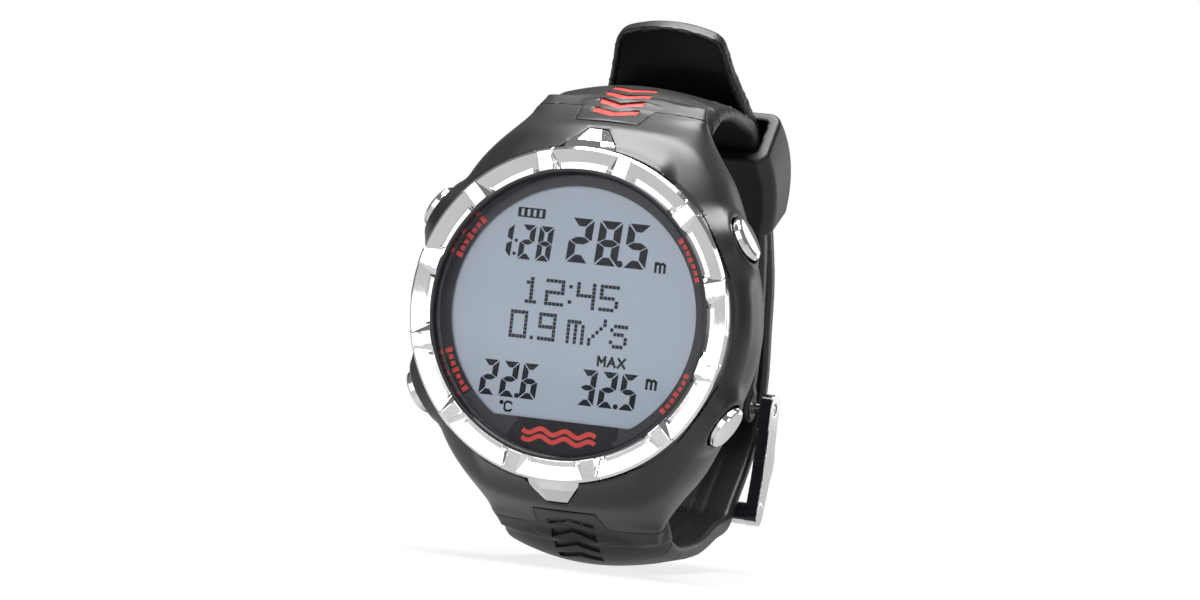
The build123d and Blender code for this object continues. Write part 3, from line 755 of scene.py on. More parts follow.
def inlay_shape(envelope, band):
    """The coloured fill in the short half's sunk pattern."""
    def shape(x, y, z):
        section, along, _ = band.section(x, y, z)
        level = join(envelope(x, y, z), section, 0.4)
        fill = common(chevrons(x, along) + 0.03, np.maximum(level + 0.14, -level - 0.45))
        return np.where(y > 6, OUTSIDE, fill)
    return shape


# ------------------------ bezel


TAB_SECTIONS = [
    (21.9, 0.65, 1.9, 1.65, 3.85, 4.8),
    (22.4, 0.9, 1.9, 1.9, 3.85, 5.0),
    (23.5, 1.45, 1.6, 2.5, 3.0, 5.5),
    (25.1, 3.7, 0.85, 4.4, 1.55, 6.3),
]


def bezel_tab_room(x, down, z):
    """The outline of the faceted tab at twelve and at six o'clock, open towards the front."""
    height = np.abs(z)
    half = np.minimum(3.9, np.minimum(3.9 - 0.8 * (height - 22.4), 2.7 - 0.9615 * (height - 23.9)))
    under = (down - 4.4 - 0.4545 * (height - 20.8)) * 0.9
    sides = np.maximum((np.abs(x) - half) * 0.75, under)
    return np.maximum(sides, np.maximum(height - 25.2, 19.0 - height))


def bezel_tab_mesh(way):
    """One faceted tab. A section's height, then its top's, its edge's depth and half width, and its floor."""
    rings = []
    for height, top, top_half, edge, half, floor in TAB_SECTIONS:
        left = [(-half, floor), (-half, edge), (-top_half, top)]
        section = left + [(-x, down) for x, down in left[::-1]]
        rings.append([(way * x, down - CASE_DEPTH, way * height) for x, down in section])
    return swept(rings)


def bezel_shape(x, y, z):
    """The chromed ring: twelve flat-topped ridges with a cone and a sunk ledge between them."""
    down = y + CASE_DEPTH
    radius = np.hypot(x, z)
    wall = np.maximum(radius - BEZEL_R, BEZEL_INNER_R - radius)
    wall = np.maximum(wall, down - BEZEL_DEPTH)
    rim = (radius - BEZEL_RIM_R - (down - 0.1)) * cos(pi / 4)
    cone = np.maximum(CONE_TOP - CONE_SLOPE * (radius - BEZEL_INNER_R) - down, rim)
    pitch = 2 * pi / RIDGES
    clock = np.arctan2(x, z) - radians(FIRST_RIDGE_DEG)
    off_ridge = (clock + pitch / 2) % pitch - pitch / 2
    off_middle = (clock % pitch) - pitch / 2
    ledge = np.maximum(radius - LEDGE_R, down - LEDGE_DEPTH)
    ledge = np.maximum(ledge, (np.abs(off_middle) - pitch * 0.32) * radius)
    ring = less(np.maximum(wall, cone), ledge)
    flank = radians(RIDGE_FLANK_DEG)
    ridge = np.abs(np.sin(off_ridge) * radius) - RIDGE_HALF_WIDTH - down * tan(flank)
    ridge = ridge * cos(flank)
    ridge = np.maximum(ridge, np.maximum(-down, (radius - BEZEL_RIM_R - 0.05 - down) * cos(pi / 4)))
    ring = join(ring, np.maximum(ridge, wall))
    return np.maximum(ring, BEZEL_INNER_R - radius)


# ------------------------ buckle and keeper


def keeper_shape(x, y, z):
    """The free loop that holds the tail, curved with the strap, fuller in the middle than at its ends."""
    radius = np.hypot(y - LOOP_Y, z - LOOP_Z)
    angle = np.degrees(np.arctan2(z - LOOP_Z, y - LOOP_Y)) - KEEPER_DEG
    run = angle / KEEPER_HALF_DEG
    full = 14.4 + 0.4 * run - 0.8 * run ** 2
    outer = box2(x, radius - 41.5 + 0.3 * run ** 2, full, 5.1 - 0.3 * run ** 2, 2.0)
    window = box2(x, radius - 41.35, 12.4 + 0.1 * run - 0.15 * run ** 2, 3.15, 0.9)
    ends = np.radians(np.abs(angle) - KEEPER_HALF_DEG) * radius
    return less(common(outer, ends, 0.6), window, 0.35)


def capsule(y, z, first, second):
    """The hull of two circles in the YZ plane, each given as Y, Z and radius."""
    dy, dz = second[0] - first[0], second[1] - first[1]
    length = hypot(dy, dz)
    along = ((y - first[0]) * dy + (z - first[1]) * dz) / length
    away = np.abs((z - first[1]) * dy - (y - first[0]) * dz) / length
    lean = (first[2] - second[2]) / length
    share = np.clip((along + away * lean / (1 - lean ** 2) ** 0.5) / length, 0, 1)
    radius = first[2] + (second[2] - first[2]) * share
    return np.hypot(along - share * length, away) - radius


def frame_arm(y, z):
    """The outline of one arm of the buckle, seen from the side."""
    middle = ((PIN[0] + BAR[0]) / 2 + 1.1, (PIN[1] + BAR[1]) / 2, 2.0)
    upper = capsule(y, z, (*PIN, 2.15), middle)
    return join(upper, capsule(y, z, middle, (*BAR, 1.6)), 1.5)


def buckle_frame_shape(x, y, z):
    """Two arms hung on the pin, joined by the far bar that the strap passes under."""
    bar_y, bar_z = BAR
    arm_x, arm_half = (ARM_OUTER_X + ARM_INNER_X) / 2, (ARM_OUTER_X - ARM_INNER_X) / 2
    arm = common(frame_arm(y, z), np.abs(np.abs(x) - arm_x) - arm_half, 0.22)
    c, s = cos(radians(BAR_DEG)), sin(radians(BAR_DEG))
    out = (y - bar_y) * c + (z - bar_z) * s
    along = (z - bar_z) * c - (y - bar_y) * s
    bar = common(box2(out, along, 1.2, 1.4, 0.7), np.abs(x) - ARM_OUTER_X + 0.1, 0.3)
    return less(join(arm, bar, 0.3), np.hypot(y - PIN[0], z - PIN[1]) - PIN_HOLE_R, 0.1)


def buckle_tongue_shape(x, y, z):
    """The tongue: an eye round the pin and a flat blade that rests on the far bar."""
    pin_y, pin_z = PIN
    rest_y, rest_z = loop_point(BAR_DEG, BAR_PATH_R + 1.24)
    reach = hypot(rest_y - pin_y, rest_z - pin_z)
    c, s = (rest_y - pin_y) / reach, (rest_z - pin_z) / reach
    along = (y - pin_y) * c + (z - pin_z) * s
    lift = (z - pin_z) * c - (y - pin_y) * s
    blade = box2(along - (reach + 1.5) / 2, lift - 0.95, (reach + 1.5) / 2, 0.43, 0.25)
    from_pin = np.hypot(along, lift)
    side = np.abs(x) - TONGUE_HALF_WIDTH
    shape = common(join(blade, from_pin - TONGUE_EYE_R, 0.6), side, 0.3)
    return less(shape, from_pin - PIN_HOLE_R)


# ------------------------ window and display


def lens_ring_profile():
    """Radius and height of the black ring round the lens."""
    corners = [(18.92, 0.45), (19.12, 0.15), (19.53, 0.15), (19.53, 3.0), (18.92, 3.0)]
    return rounded([(r, d - CASE_DEPTH) for r, d in corners], {1: 0.07, 2: 0.07})


def lens_profile():
    """Radius and height of the glass, with its polished bevel."""
    bevel = 0.25
    corners = [(0, LENS_TOP), (LENS_R - bevel, LENS_TOP), (LENS_R, LENS_TOP + bevel), (LENS_R, LENS_LOW)]
    return [(r, d - CASE_DEPTH) for r, d in corners + [(0, LENS_LOW)]]


def display_mask_mesh():
    """The printed border: a ring whose opening is flat at six o'clock."""
    flat = WINDOW_FLAT_Z / WINDOW_R
    outer = LENS_R - 0.05
    rings = []
    for a in np.arange(0, 192) * pi / 96 - pi / 2:
        inner = WINDOW_R if sin(a) > flat else WINDOW_FLAT_Z / sin(a)
        edges = [(outer * cos(a), outer * sin(a)), (inner * cos(a), inner * sin(a))]
        rings.append(at_depth(edges, LENS_LOW) + at_depth(edges[::-1], MASK_LOW))
    return swept(rings, closed=True)


# The strokes each figure shows: top, top right, low right, bottom, low left, top left, middle
STROKES = {"1": "0110000", "2": "1101101", "3": "1111001", "5": "1011011", "6": "1011111", "8": "1111111"}


def stroke_outlines(width, height, pen):
    """The seven strokes of a figure: mitred bars with small gaps between them."""
    w, h, m, gap = width / 2, height / 2, pen / 2, pen * 0.09
    inner = w - pen
    top = [(-w + 2 * gap, h), (w - 2 * gap, h), (w - gap - pen, h - pen), (-w + gap + pen, h - pen)]
    bottom = [(x, -z) for x, z in top]
    end = w - gap - m * 0.3
    middle = [(-end, 0), (-inner, m * 0.9), (inner, m * 0.9)]
    middle += [(-x, -z) for x, z in middle]
    right = [(w, h - gap * 1.6), (w, gap * 1.6), (w - m * 0.3, gap)]
    right += [(inner, m + gap * 0.8), (inner, h - pen - gap * 1.6)]
    low_right = [(x, -z) for x, z in right]
    left = [(-x, z) for x, z in right]
    low_left = [(-x, -z) for x, z in right]
    return [top, right, low_right, bottom, low_left, left, middle]


def wound(outline):
    """The outline, turned the same way round as every other."""
    area = sum(x0 * z1 - x1 * z0 for (x0, z0), (x1, z1) in zip(outline, outline[1:] + outline[:1]))
    return outline if area > 0 else outline[::-1]


def figure(character, x, z, width, height, pen, slant=0.06):
    """One seven-stroke figure centred on x and z."""
    parts = []
    for flag, outline in zip(STROKES[character], stroke_outlines(width, height, pen)):
        if flag == "1":
            moved = [(x + px + pz * slant, z + pz) for px, pz in outline]
            parts.append(prism(wound(moved), LCD_TOP - INK, LCD_TOP + INK))
    return parts


def blot(x, z, width, height, corner=0.0):
    """A small flat rectangle of ink, with its corners cut."""
    w, h, c = width / 2, height / 2, corner
    outline = [(-w, -h), (w, -h), (w, h), (-w, h)]
    if corner:
        outline = [(c - w, -h), (w - c, -h), (w, c - h), (w, h - c)]
        outline += [(w - c, h), (c - w, h), (-w, h - c), (-w, c - h)]
    return prism(wound([(x + px, z + pz) for px, pz in outline]), LCD_TOP - INK, LCD_TOP + INK)


def reading(text, x, z, width, height, pen):
    """A row of figures filling a width about x and z. A point or a colon takes little room."""
    colon_share = 0.22
    pitch = width / (sum(c not in ".:" for c in text) + colon_share * text.count(":"))
    glyph = pitch * 0.8
    parts = []
    at = x - width / 2 + pitch / 2
    for character in text:
        if character == ".":
            foot = z - height / 2 + pen * 0.4
            parts.append(blot(at - pitch / 2 - height * 0.03, foot, pen * 0.8, pen * 0.8, pen * 0.2))
        elif character == ":":
            at += pitch * colon_share
            middle = at - pitch * (1 + colon_share) / 2
            for dz in (-height * 0.36, height * 0.02):
                parts.append(blot(middle + dz * 0.06, z + dz, pen * 0.6, pen * 0.6, pen * 0.15))
        else:
            parts += figure(character, at, z, glyph, height, pen)
            at += pitch
    return parts


# Dot figures, seven rows of five
DOTS = {
    "0": "11111 10001 10001 10001 10001 10001 11111",
    "1": "00100 01100 00100 00100 00100 00100 01110",
    "2": "11111 00001 00001 11111 10000 10000 11111",
    "4": "10001 10001 10001 11111 00001 00001 00001",
    "5": "11111 10000 10000 11110 00001 00001 11110",
    "9": "11111 10001 10001 11111 00001 00001 11111",
    "m": "00000 11110 10101 10101 10101 10101 10101",
    "s": "00000 01111 10000 01110 00001 10001 01110",
    "/": "00001 00001 00010 00100 01000 10000 10000",
    ":": "0 1 0 0 0 1 0",
    ".": "0 0 0 0 0 0 1",
    " ": "0 0 0 0 0 0 0",
}


def dotted(text, x, z, width, height):
    """A row of dot figures filling a width about x and z."""
    figures = [DOTS[character].split() for character in text]
    columns = sum(len(rows[0]) + 1 for rows in figures) - 1
    pitch_x, pitch_z = width / columns, height / 7
    at = x - width / 2 + pitch_x / 2
    parts = []
    for rows in figures:
        for r, row in enumerate(rows):
            level = z + height / 2 - (r + 0.5) * pitch_z
            for c, dot in enumerate(row):
                if dot == "1":
                    parts.append(blot(at + c * pitch_x, level, pitch_x * 0.9, pitch_z * 0.9))
        at += (len(rows[0]) + 1) * pitch_x
    return parts


def ribbon(points, pen, depth):
    """A stroke of print along a few points, as one closed strip about a depth."""
    line = np.array(points, float)
    ahead = np.gradient(line, axis=0)
    ahead /= np.linalg.norm(ahead, axis=1, keepdims=True)
    side = np.stack([-ahead[:, 1], ahead[:, 0]], axis=1) * pen / 2
    edges = [[tuple(left), tuple(right)] for left, right in zip(line + side, line - side)]
    return swept([at_depth(e, depth - INK) + at_depth(e[::-1], depth + INK) for e in edges])


def pen_line(points, pen):
    """A stroke of ink along a few points, as one flat strip a segment."""
    parts = []
    for first, second in zip(points, points[1:]):
        step = np.subtract(second, first)
        reach = step / hypot(*step) * pen / 2
        parts.append(ribbon([first - reach, second + reach], pen, LCD_TOP))
    return parts


# Small signs drawn with a pen in a box one unit high: strokes of (across, up)
SIGNS = {
    "m": ([(0, 0), (0, 1)], [(0, 0.8), (0.3, 1), (0.55, 0.85), (0.55, 0)],
          [(0.55, 0.85), (0.85, 1), (1.1, 0.8), (1.1, 0)]),
    "C": ([(0.8, 0.85), (0.6, 1), (0.2, 1), (0, 0.8), (0, 0.2), (0.2, 0), (0.6, 0), (0.8, 0.15)],),
    "o": ([(0, 0.8), (0, 1.0), (0.2, 1.0), (0.2, 0.8), (0, 0.8)],),
    "M": ([(0, 0), (0, 1), (0.42, 0.4), (0.84, 1), (0.84, 0)],),
    "A": ([(0, 0), (0.42, 1), (0.84, 0)], [(0.16, 0.35), (0.68, 0.35)]),
    "X": ([(0, 0), (0.8, 1)], [(0, 1), (0.8, 0)]),
}


def signs(text, x, z, size, pen, pitch):
    """Small signs in a row, starting at x with their feet at z."""
    parts = []
    for k, character in enumerate(text):
        for stroke in SIGNS[character]:
            parts += pen_line([(x + k * pitch + px * size, z + pz * size) for px, pz in stroke], pen)
    return parts


def display_ink():
    """Everything the display shows, as flat dark shapes on its glass."""
    parts = []
    parts += reading("1:28", -8.0, 9.08, 8.2, 4.7, 0.76)
    parts += reading("28.5", 3.8, 10.03, 12.1, 6.0, 1.08)
    parts += dotted("12:45", -0.79, 2.72, 13.8, 3.6)
    parts += dotted("0.9 m/s", -0.52, -1.97, 16.8, 3.8)
    parts += reading("22.6", -8.1, -9.5, 8.7, 4.8, 0.82)
    parts += reading("32.5", 5.95, -9.45, 8.7, 4.85, 0.82)
    parts += signs("m", 10.75, 6.95, 1.15, 0.34, 1)
    parts += signs("m", 11.3, -8.65, 1.15, 0.34, 1)
    parts += signs("oC", -8.95, -13.75, 1.2, 0.28, 0.62)
    parts += signs("MAX", 4.15, -6.3, 1.15, 0.32, 1.42)
    return merged(parts)


def badge_ink():
    """The mode badge: a dark plate with a plain depth scale left open in it."""
    x, z = -7.46, 13.05
    parts = [blot(x, z + 0.56, 3.9, 0.2, 0.08), blot(x, z - 0.56, 3.9, 0.2, 0.08)]
    for k in range(5):
        parts.append(blot(x - 1.72 + k * 0.86, z, 0.46, 1.1, 0.06))
    return merged(parts)


def border_marks():
    """The red print on the border: two waves at six o'clock and a dashed arc beside each pusher."""
    across = np.linspace(-5.2, 5.2, 61)
    parts = []
    for base in (-15.95, -16.95):
        parts.append(ribbon([(x - 0.1, base + 0.34 * sin(x * 1.8)) for x in across], MARK_PEN, LENS_LOW))
    for deg in PUSHER_ANGLES.values():
        for k in range(-3, 4):
            middle = deg + 3.0 * k
            arc = np.radians(np.linspace(middle - 1.0, middle + 1.0, 5))
            line = [(MARK_R * cos(a), MARK_R * sin(a)) for a in arc]
            parts.append(ribbon(line, MARK_PEN if k % 3 else 0.95, LENS_LOW))
    return merged(parts)


# ------------------------ pushers


def pusher_profile():
    """Radius and height of a pusher: a slightly domed cap on a grooved stem."""
    face, cap, stem = PUSHER_FACE_R, PUSHER_CAP_R, 1.2
    low = face - PUSHER_CAP_HEIGHT
    profile = [(0, face), (cap * 0.45, face - 0.02), (cap - 0.45, face - 0.1), (cap - 0.12, face - 0.3)]
    profile += [(cap, face - 0.5), (cap, face - 0.62), (cap - 0.12, face - 0.7)]
    profile += [(cap - 0.12, face - 0.82), (cap, face - 0.9), (cap, low + 0.08)]
    profile += [(cap - 0.08, low), (stem, low), (stem, 20.9), (0.62, 20.9), (0.62, 20.2), (stem, 20.2)]
    return profile + [(stem, 17.72), (0.8, 17.72), (0.8, 17.3), (stem, 17.3), (stem, 16.95), (0, 16.95)]


def coil_mesh(radius, wire, turns, length, base, deg):
    """A round wire wound along a pusher's axis, from a distance out along it."""
    steps, sides = int(turns * 28), 10
    c, s = cos(radians(deg)), sin(radians(deg))
    rings = []
    for k in range(steps, -1, -1):
        angle = 2 * pi * turns * k / steps
        ring = []
        for n in range(sides):
            turn = 2 * pi * n / sides
            across = radius + wire * cos(turn)
            out = base + length * k / steps + wire * sin(turn)
            side = across * sin(angle)
            ring.append((out * c - side * s, PUSHER_Y + across * cos(angle), out * s + side * c))
        rings.append(ring)
    return swept(rings)


def pin_profile():
    """Radius and height of the buckle pin, with a centre mark in each end."""
    end = ARM_OUTER_X - 0.1
    right = [(0, end - 0.25), (0.22, end), (PIN_R - 0.15, end), (PIN_R, end - 0.15)]
    return right + [(r, -h) for r, h in right[::-1]]


# ------------------------ materials


def put(tree, node, **values):
    """Sets a node's inputs and settings by name: a socket is linked, anything else is set."""
    for key, value in values.items():
        socket = node.inputs.get(key.replace("_", " "))
        if isinstance(value, bpy.types.NodeSocket):
            tree.links.new(value, socket)
        elif socket:
            socket.default_value = value
        else:
            setattr(node, key, value)
    return node


def shading(owner):
    """A material's or a world's node tree, and a short way to add nodes to it."""
    owner.use_nodes = True
    tree = owner.node_tree

    def add(kind, output, **values):
        return put(tree, tree.nodes.new("ShaderNode" + kind), **values).outputs[output]

    return tree, add


def ramp(tree, add, source, low, high):
    """A colour ramp between two colours, driven by a texture's value."""
    colours = add("ValToRGB", "Color", Fac=source)
    elements = colours.node.color_ramp.elements
    for element, position, colour in zip(elements, (0.3, 0.7), (low, high)):
        element.position = position
        element.color = (*colour, 1)
    return colours


def spread(add, source, low, high):
    """A value between two limits, driven by a texture's value."""
    return add("MapRange", "Result", Value=source, From_Min=0.3, From_Max=0.7, To_Min=low, To_Max=high)


def mixed_shaders(tree, add, share, first, second):
    """Shows the first shader where the share is 0 and the second where it is 1."""
    mixed = add("MixShader", "Shader", Fac=share)
    tree.links.new(first, mixed.node.inputs[1])
    tree.links.new(second, mixed.node.inputs[2])
    tree.links.new(mixed, tree.nodes["Material Output"].inputs["Surface"])


def finish_material(name, low, high, rough, patch=180.0, grain=6000.0, bump=0.0, rings=0.0, **shader_values):
    """A finish: two close tints in soft patches, uneven gloss, and a fine moulded grain or turned rings."""
    made = bpy.data.materials.new(name)
    tree, add = shading(made)
    where = add("TexCoord", "Object")
    patches = add("TexNoise", "Fac", Vector=where, Scale=patch, Detail=3.0, Roughness=0.6)
    if rings:
        fine = add("TexWave", "Fac", Vector=where, Scale=rings, Distortion=1.5, Detail=3.0, Detail_Scale=0.3,
                   wave_type="RINGS", rings_direction="Y")
    else:
        fine = add("TexNoise", "Fac", Vector=where, Scale=grain, Detail=4.0, Roughness=0.65)
    if bump:
        shader_values["Normal"] = add("Bump", "Normal", Strength=bump, Distance=0.00006, Height=fine)
    put(tree, tree.nodes["Principled BSDF"], Base_Color=ramp(tree, add, patches, low, high),
        Roughness=spread(add, fine, *rough), **shader_values)
    return made


def glass_material():
    """Clear glass: what is behind shows through, under a thin reflection that grows towards the edges."""
    made = bpy.data.materials.new("lens_glass")
    tree, add = shading(made)
    tree.nodes.remove(tree.nodes["Principled BSDF"])
    smears = add("TexNoise", "Fac", Vector=add("TexCoord", "Object"), Scale=300.0, Detail=2.0)
    clear = add("BsdfTransparent", "BSDF", Color=(0.985, 0.99, 0.995, 1))
    gloss = add("BsdfGlossy", "BSDF", Color=(1, 1, 1, 1), Roughness=spread(add, smears, 0.02, 0.05))
    mixed_shaders(tree, add, add("Fresnel", "Fac", IOR=1.22), clear, gloss)
    return made


# Low and high tint, low and high roughness of every finish
FINISHES = {
    "case_polymer": ((0.011, 0.0105, 0.011), (0.015, 0.0145, 0.015), (0.30, 0.40)),
    "bright_chrome": ((0.86, 0.86, 0.87), (0.93, 0.93, 0.94), (0.04, 0.10)),
    # black_gloss is the lens ring's own black; on the buckle frame's front faces it is a painted dark
    # reflection.
    "black_gloss": ((0.008, 0.009, 0.012), (0.014, 0.015, 0.019), (0.10, 0.18)),
    "black_rubber": ((0.012, 0.012, 0.012), (0.02, 0.02, 0.02), (0.55, 0.7)),
    "mask_print": ((0.022, 0.021, 0.034), (0.026, 0.025, 0.039), (0.25, 0.32)),
    "display_glass": ((0.52, 0.595, 0.695), (0.55, 0.625, 0.725), (0.22, 0.30)),
    "white_plastic": ((0.70, 0.70, 0.67), (0.78, 0.78, 0.75), (0.4, 0.5)),
    "board_green": ((0.01, 0.07, 0.03), (0.015, 0.10, 0.045), (0.25, 0.4)),
    "small_parts": ((0.30, 0.26, 0.18), (0.42, 0.38, 0.30), (0.35, 0.5)),
    "gold_contact": ((0.75, 0.52, 0.18), (0.85, 0.62, 0.24), (0.2, 0.3)),
    "tray_plastic": ((0.015, 0.015, 0.016), (0.022, 0.022, 0.024), (0.45, 0.55)),
    "steel": ((0.50, 0.50, 0.50), (0.60, 0.60, 0.60), (0.22, 0.34)),
    "brushed_back": ((0.52, 0.52, 0.53), (0.62, 0.62, 0.63), (0.22, 0.42)),
    "strap_rubber": ((0.010, 0.0095, 0.010), (0.013, 0.0125, 0.013), (0.34, 0.44)),
    # A darker copy of the strap rubber for the inner face of the tail: painted shade. Its lower roughness is
    # the rubber's real gloss.
    "strap_tail_painted_shade": ((0.0035, 0.0035, 0.0035), (0.005, 0.005, 0.005), (0.16, 0.24)),
    "keeper_rubber": ((0.006, 0.006, 0.006), (0.009, 0.009, 0.009), (0.34, 0.44)),
    "polished_steel": ((0.80, 0.80, 0.81), (0.88, 0.88, 0.89), (0.08, 0.16)),
    "ink": ((0.004, 0.009, 0.017), (0.006, 0.012, 0.021), (0.5, 0.6)),
    "red_print": ((0.86, 0.055, 0.045), (0.92, 0.070, 0.055), (0.35, 0.45)),
}

# What else a finish needs
FINISH_EXTRAS = {
    "case_polymer": {"bump": 0.12, "Specular_IOR_Level": 0.6, "Coat_Weight": 0.12, "Coat_Roughness": 0.35},
    "bright_chrome": {"Metallic": 1.0, "grain": 2500.0},
    "black_rubber": {"bump": 0.2},
    "display_glass": {"patch": 60.0},
    "small_parts": {"patch": 600.0},
    "gold_contact": {"Metallic": 1.0},
    "tray_plastic": {"bump": 0.2},
    "steel": {"Metallic": 1.0},
    "brushed_back": {"Metallic": 1.0, "rings": 900.0, "bump": 0.25},
    "strap_rubber": {"bump": 0.16, "Specular_IOR_Level": 0.55},
    "strap_tail_painted_shade": {"bump": 0.05},
    "keeper_rubber": {"bump": 0.16},
    "polished_steel": {"Metallic": 1.0, "grain": 2500.0},
    "ink": {"patch": 900.0, "Specular_IOR_Level": 0.15},
    "red_print": {"patch": 900.0},
}


def materials():
    """Every finish, by the record's slot, and a few for print and paint."""
    made = {"lens_glass": glass_material()}
    for name, (low, high, rough) in FINISHES.items():
        made[name] = finish_material(name, low, high, rough, **FINISH_EXTRAS.get(name, {}))
    return made


# ------------------------ stage


def camera():
    """The camera that sees the object as it hangs in front of a photographer, a little from its right."""
    a, roll = radians(CAMERA_AZIMUTH_DEG), radians(CAMERA_ROLL_DEG)
    back = Vector((sin(a), -cos(a), 0))
    level = Vector((cos(a), sin(a), 0))
    upright = Vector((0, 0, 1))
    right = level * cos(roll) + upright * sin(roll)
    up = upright * cos(roll) - level * sin(roll)
    aim = Vector((0, -CASE_DEPTH, 0)) * MM + right * AIM_RIGHT * MM + up * AIM_UP * MM
    data = bpy.data.cameras.new("camera")
    data.lens = CAMERA_LENS
    data.sensor_width = 36.0
    data.clip_start = 0.01
    eye = bpy.data.objects.new("camera", data)
    turn = Matrix((right, up, back)).transposed().to_4x4()
    eye.matrix_world = Matrix.Translation(aim + back * CAMERA_DISTANCE) @ turn
    bpy.context.scene.collection.objects.link(eye)
    bpy.context.scene.camera = eye


def soft_light(name, spot, size, radiance):
    """A rectangular soft box at a spot in metres, facing the object."""
    data = bpy.data.lights.new(name, "AREA")
    data.shape = "RECTANGLE"
    data.size, data.size_y = size
    data.energy = radiance * pi * size[0] * size[1]
    lamp = bpy.data.objects.new(name, data)
    lamp.location = spot
    lamp.rotation_mode = "QUATERNION"
    lamp.rotation_quaternion = (-Vector(spot)).to_track_quat("-Z", "Y")
    lamp.visible_camera = False
    bpy.context.scene.collection.objects.link(lamp)
    lamp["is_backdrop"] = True


def floor_mesh(level, radii):
    """A flat round floor, from its widest ring to its narrowest."""
    turn = np.arange(96) * pi / 48
    points, faces = swept([[(r * cos(a), r * sin(a), level) for a in turn] for r in radii])
    return points, faces[1:]


def floor_material():
    """White paper under the object that fades into the white surround farther out."""
    made = bpy.data.materials.new("floor_paper")
    tree, add = shading(made)
    where = add("TexCoord", "Object")
    fibres = add("TexNoise", "Fac", Vector=where, Scale=500.0, Detail=2.0)
    paper = ramp(tree, add, fibres, (0.86, 0.86, 0.86), (0.88, 0.88, 0.88))
    shader = put(tree, tree.nodes["Principled BSDF"], Base_Color=paper, Roughness=0.9)
    seen = add("LightPath", "Is Camera Ray")
    glow = add("Emission", "Emission", Color=(1, 1, 1, 1), Strength=spread(add, seen, FLOOR_LIGHT, 1.0))
    reach = add("VectorMath", "Value", operation="LENGTH")
    tree.links.new(where, reach.node.inputs[0])
    fade = add("MapRange", "Result", Value=reach, From_Min=0.03, From_Max=0.10, To_Min=0.8,
               interpolation_type="SMOOTHSTEP")
    mixed_shaders(tree, add, fade, shader.outputs["BSDF"], glow)
    return made


def surround():
    """A white surround that lights the object less than it shows, so that the soft boxes shape it."""
    world = bpy.data.worlds.new("surround")
    tree, add = shading(world)
    seen = add("LightPath", "Is Camera Ray")
    level = add("MapRange", "Result", Value=seen, To_Min=SURROUND_LIGHT, To_Max=1.0)
    put(tree, tree.nodes["Background"], Color=(1, 1, 1, 1), Strength=level)
    bpy.context.scene.world = world
    bpy.context.scene.view_settings.view_transform = "Standard"


def stage():
    """Floor, soft lights and a white surround."""
    floor = mesh_piece("floor", *floor_mesh(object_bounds()[0][2] / MM - 0.1, (12000, 2500, 600, 200, 60)))
    floor.data.materials.append(floor_material())
    floor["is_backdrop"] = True
    surround()
    for name, (spot, size, radiance) in SOFT_BOXES.items():
        soft_light(name, spot, size, radiance)


# ------------------------ the object


def dress(piece, finishes, slot, body, *nodes):
    """Gives a piece its finish and its body, in place of the CAD nodes it stands for."""
    piece.data.materials.append(finishes[slot])
    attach(piece, body)
    if nodes:
        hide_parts(*nodes)


def second_finish(piece, finish, chosen):
    """Gives the faces whose middles are chosen, in millimetres, another finish."""
    faces = piece.data.polygons
    middles = np.empty(len(faces) * 3)
    faces.foreach_get("center", middles)
    normals = np.empty(len(faces) * 3)
    faces.foreach_get("normal", normals)
    piece.data.materials.append(finish)
    index = chosen(middles.reshape(-1, 3) / MM, normals.reshape(-1, 3)).astype(np.int32)
    faces.foreach_set("material_index", index)


def solid_piece(name, shape, low, high, cell, crease_deg=40, **how):
    """A piece meshed from its shape within two corners."""
    points, faces = surface(shape, low, high, cell, **how)
    return mesh_piece(name, points, faces, crease_deg)


def around(node, margin=0.6):
    """A CAD node's box in millimetres, with a margin."""
    low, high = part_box(node)
    return [v / MM - margin for v in low], [v / MM + margin for v in high]


def finish_cad_nodes(frame, finishes):
    """Gives every CAD node the finish of its slot."""
    for part in frame["record"]["subparts"]:
        node = frame["nodes"][part["node"]]
        node.data.materials.clear()
        node.data.materials.append(finishes[part["material_slot"]])
        node.data.shade_smooth()
        node.data.set_sharp_from_angle(angle=radians(30))


def build_case_and_strap(finishes, coarse):
    """The case, both strap halves and the fill in the upper one's pattern."""
    bands = {1: upper_band(), -1: lower_band()}
    envelope = outer_envelope(bands)
    cell = 0.5 if coarse else 0.28
    case = solid_piece("case", case_shape(envelope), *around("case_body"), cell)
    dress(case, finishes, "case_polymer", "watch", "case_body")
    upper = strap_upper_shape(envelope, bands[1])
    lower = strap_lower_shape(envelope, bands[-1])
    for node, shape in {"strap_upper": upper, "strap_lower": lower}.items():
        piece = solid_piece(node + "_rubber", shape, *around(node), cell)
        dress(piece, finishes, "strap_rubber", "watch", node)
    tail = bands[-1]

    # The inner face of the tail, over its last 24 mm, gets the darker copy of the strap rubber: painted
    # shade.
    def inner(middles, normals):
        k, along, out = tail.locate(middles[:, 1], middles[:, 2])
        return (out < -0.8 * tail.thick[k]) & (along > tail.length - 24)
    second_finish(piece, finishes["strap_tail_painted_shade"], inner)
    low, high = (-4.4, -9.0, 22.0), (4.4, 9.0, 33.5)
    fill = solid_piece("strap_pattern_fill", inlay_shape(envelope, bands[1]), low, high, 0.12)
    dress(fill, finishes, "red_print", "watch")


def build_bezel(finishes, coarse):
    """The chromed bezel, meshed round the dial."""
    cell = 0.3 if coarse else 0.16
    low, high = (0.0, 19.3, -0.3), (2 * pi, 25.5, 6.9)
    turn = 2 * pi / round(2 * pi * 21.5 / cell)
    steps = [turn, cell, cell]
    piece = solid_piece("bezel_ring", bezel_shape, low, high, cell, 18, place=polar, wrap=True, steps=steps)
    dress(piece, finishes, "bright_chrome", "watch", "bezel")
    tabs = mesh_piece("bezel_tabs", *merged([bezel_tab_mesh(1), bezel_tab_mesh(-1)]), 15)
    dress(tabs, finishes, "bright_chrome", "watch")


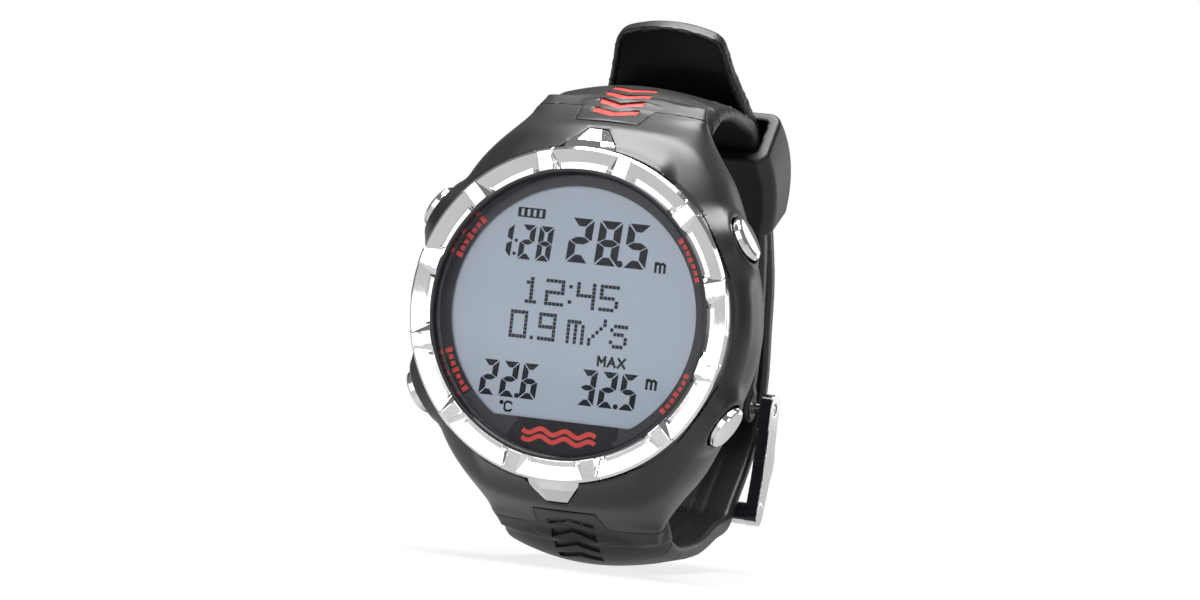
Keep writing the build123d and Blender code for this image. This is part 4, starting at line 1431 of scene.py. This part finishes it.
def build_buckle(finishes, coarse):
    """The buckle's frame and tongue, its pin and the keeper."""
    cell = 0.4 if coarse else 0.2
    frame = solid_piece("buckle_frame_steel", buckle_frame_shape, *around("buckle_frame"), cell)
    dress(frame, finishes, "polished_steel", "buckle_frame", "buckle_frame")
    # The frame's faces that look towards the front take the black gloss: a painted dark reflection on the
    # polished steel.
    second_finish(frame, finishes["black_gloss"], lambda middles, normals: normals[:, 1] < -0.75)
    tongue = solid_piece("buckle_tongue_steel", buckle_tongue_shape, *around("buckle_tongue"), 0.15)
    dress(tongue, finishes, "polished_steel", "buckle_tongue", "buckle_tongue")
    pin = lathe_piece("buckle_pin_steel", pin_profile(), 48, (0, *PIN), (1, 0, 0))
    dress(pin, finishes, "polished_steel", "watch", "buckle_pin")
    keeper = solid_piece("keeper_rubber", keeper_shape, *around("strap_keeper"), 0.5 if coarse else 0.3)
    dress(keeper, finishes, "keeper_rubber", "strap_keeper", "strap_keeper")


def build_window(finishes):
    """The lens with its ring, the printed border with its marks, and the display with what it shows."""
    ring = lathe_piece("lens_ring_black", lens_ring_profile(), 256)
    dress(ring, finishes, "black_gloss", "watch", "lens_ring")
    glass = lathe_piece("lens_glass_disc", lens_profile(), 256)
    dress(glass, finishes, "lens_glass", "watch", "lens")
    mask = mesh_piece("display_border", *display_mask_mesh(), 30)
    dress(mask, finishes, "mask_print", "watch", "display_mask")
    marks = mesh_piece("border_marks", *border_marks(), 30)
    dress(marks, finishes, "red_print", "watch")
    for name, maker in (("display_figures", display_ink), ("display_badge", badge_ink)):
        ink = mesh_piece(name, *maker(), 30)
        dress(ink, finishes, "ink", "watch")


def build_pushers(finishes):
    """The four pushers and their return springs; the springs are meshed at rest on the watch's body and do
    not shorten with the pushers.
    """
    for place, deg in PUSHER_ANGLES.items():
        axis = (cos(radians(deg)), 0, sin(radians(deg)))
        piece = lathe_piece(f"pusher_{place}_steel", pusher_profile(), 96, (0, PUSHER_Y, 0), axis, 25)
        dress(piece, finishes, "bright_chrome", f"pusher_{place}", f"pusher_{place}")
        seat = TUBE_OUTER_END
        room = PUSHER_FACE_R - PUSHER_CAP_HEIGHT - seat
        wire = coil_mesh(2.2, 0.17, 3.5, room - 0.4, seat + 0.2, deg)
        coil = mesh_piece(f"return_spring_{place}", *wire, 40)
        dress(coil, finishes, "steel", "watch", f"pusher_spring_{place}")
        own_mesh(coil)


def main():
    """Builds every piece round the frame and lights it."""
    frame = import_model()
    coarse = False
    finishes = materials()
    finish_cad_nodes(frame, finishes)
    build_case_and_strap(finishes, coarse)
    build_bezel(finishes, coarse)
    build_buckle(finishes, coarse)
    build_window(finishes)
    build_pushers(finishes)
    stage()
    camera()


main()
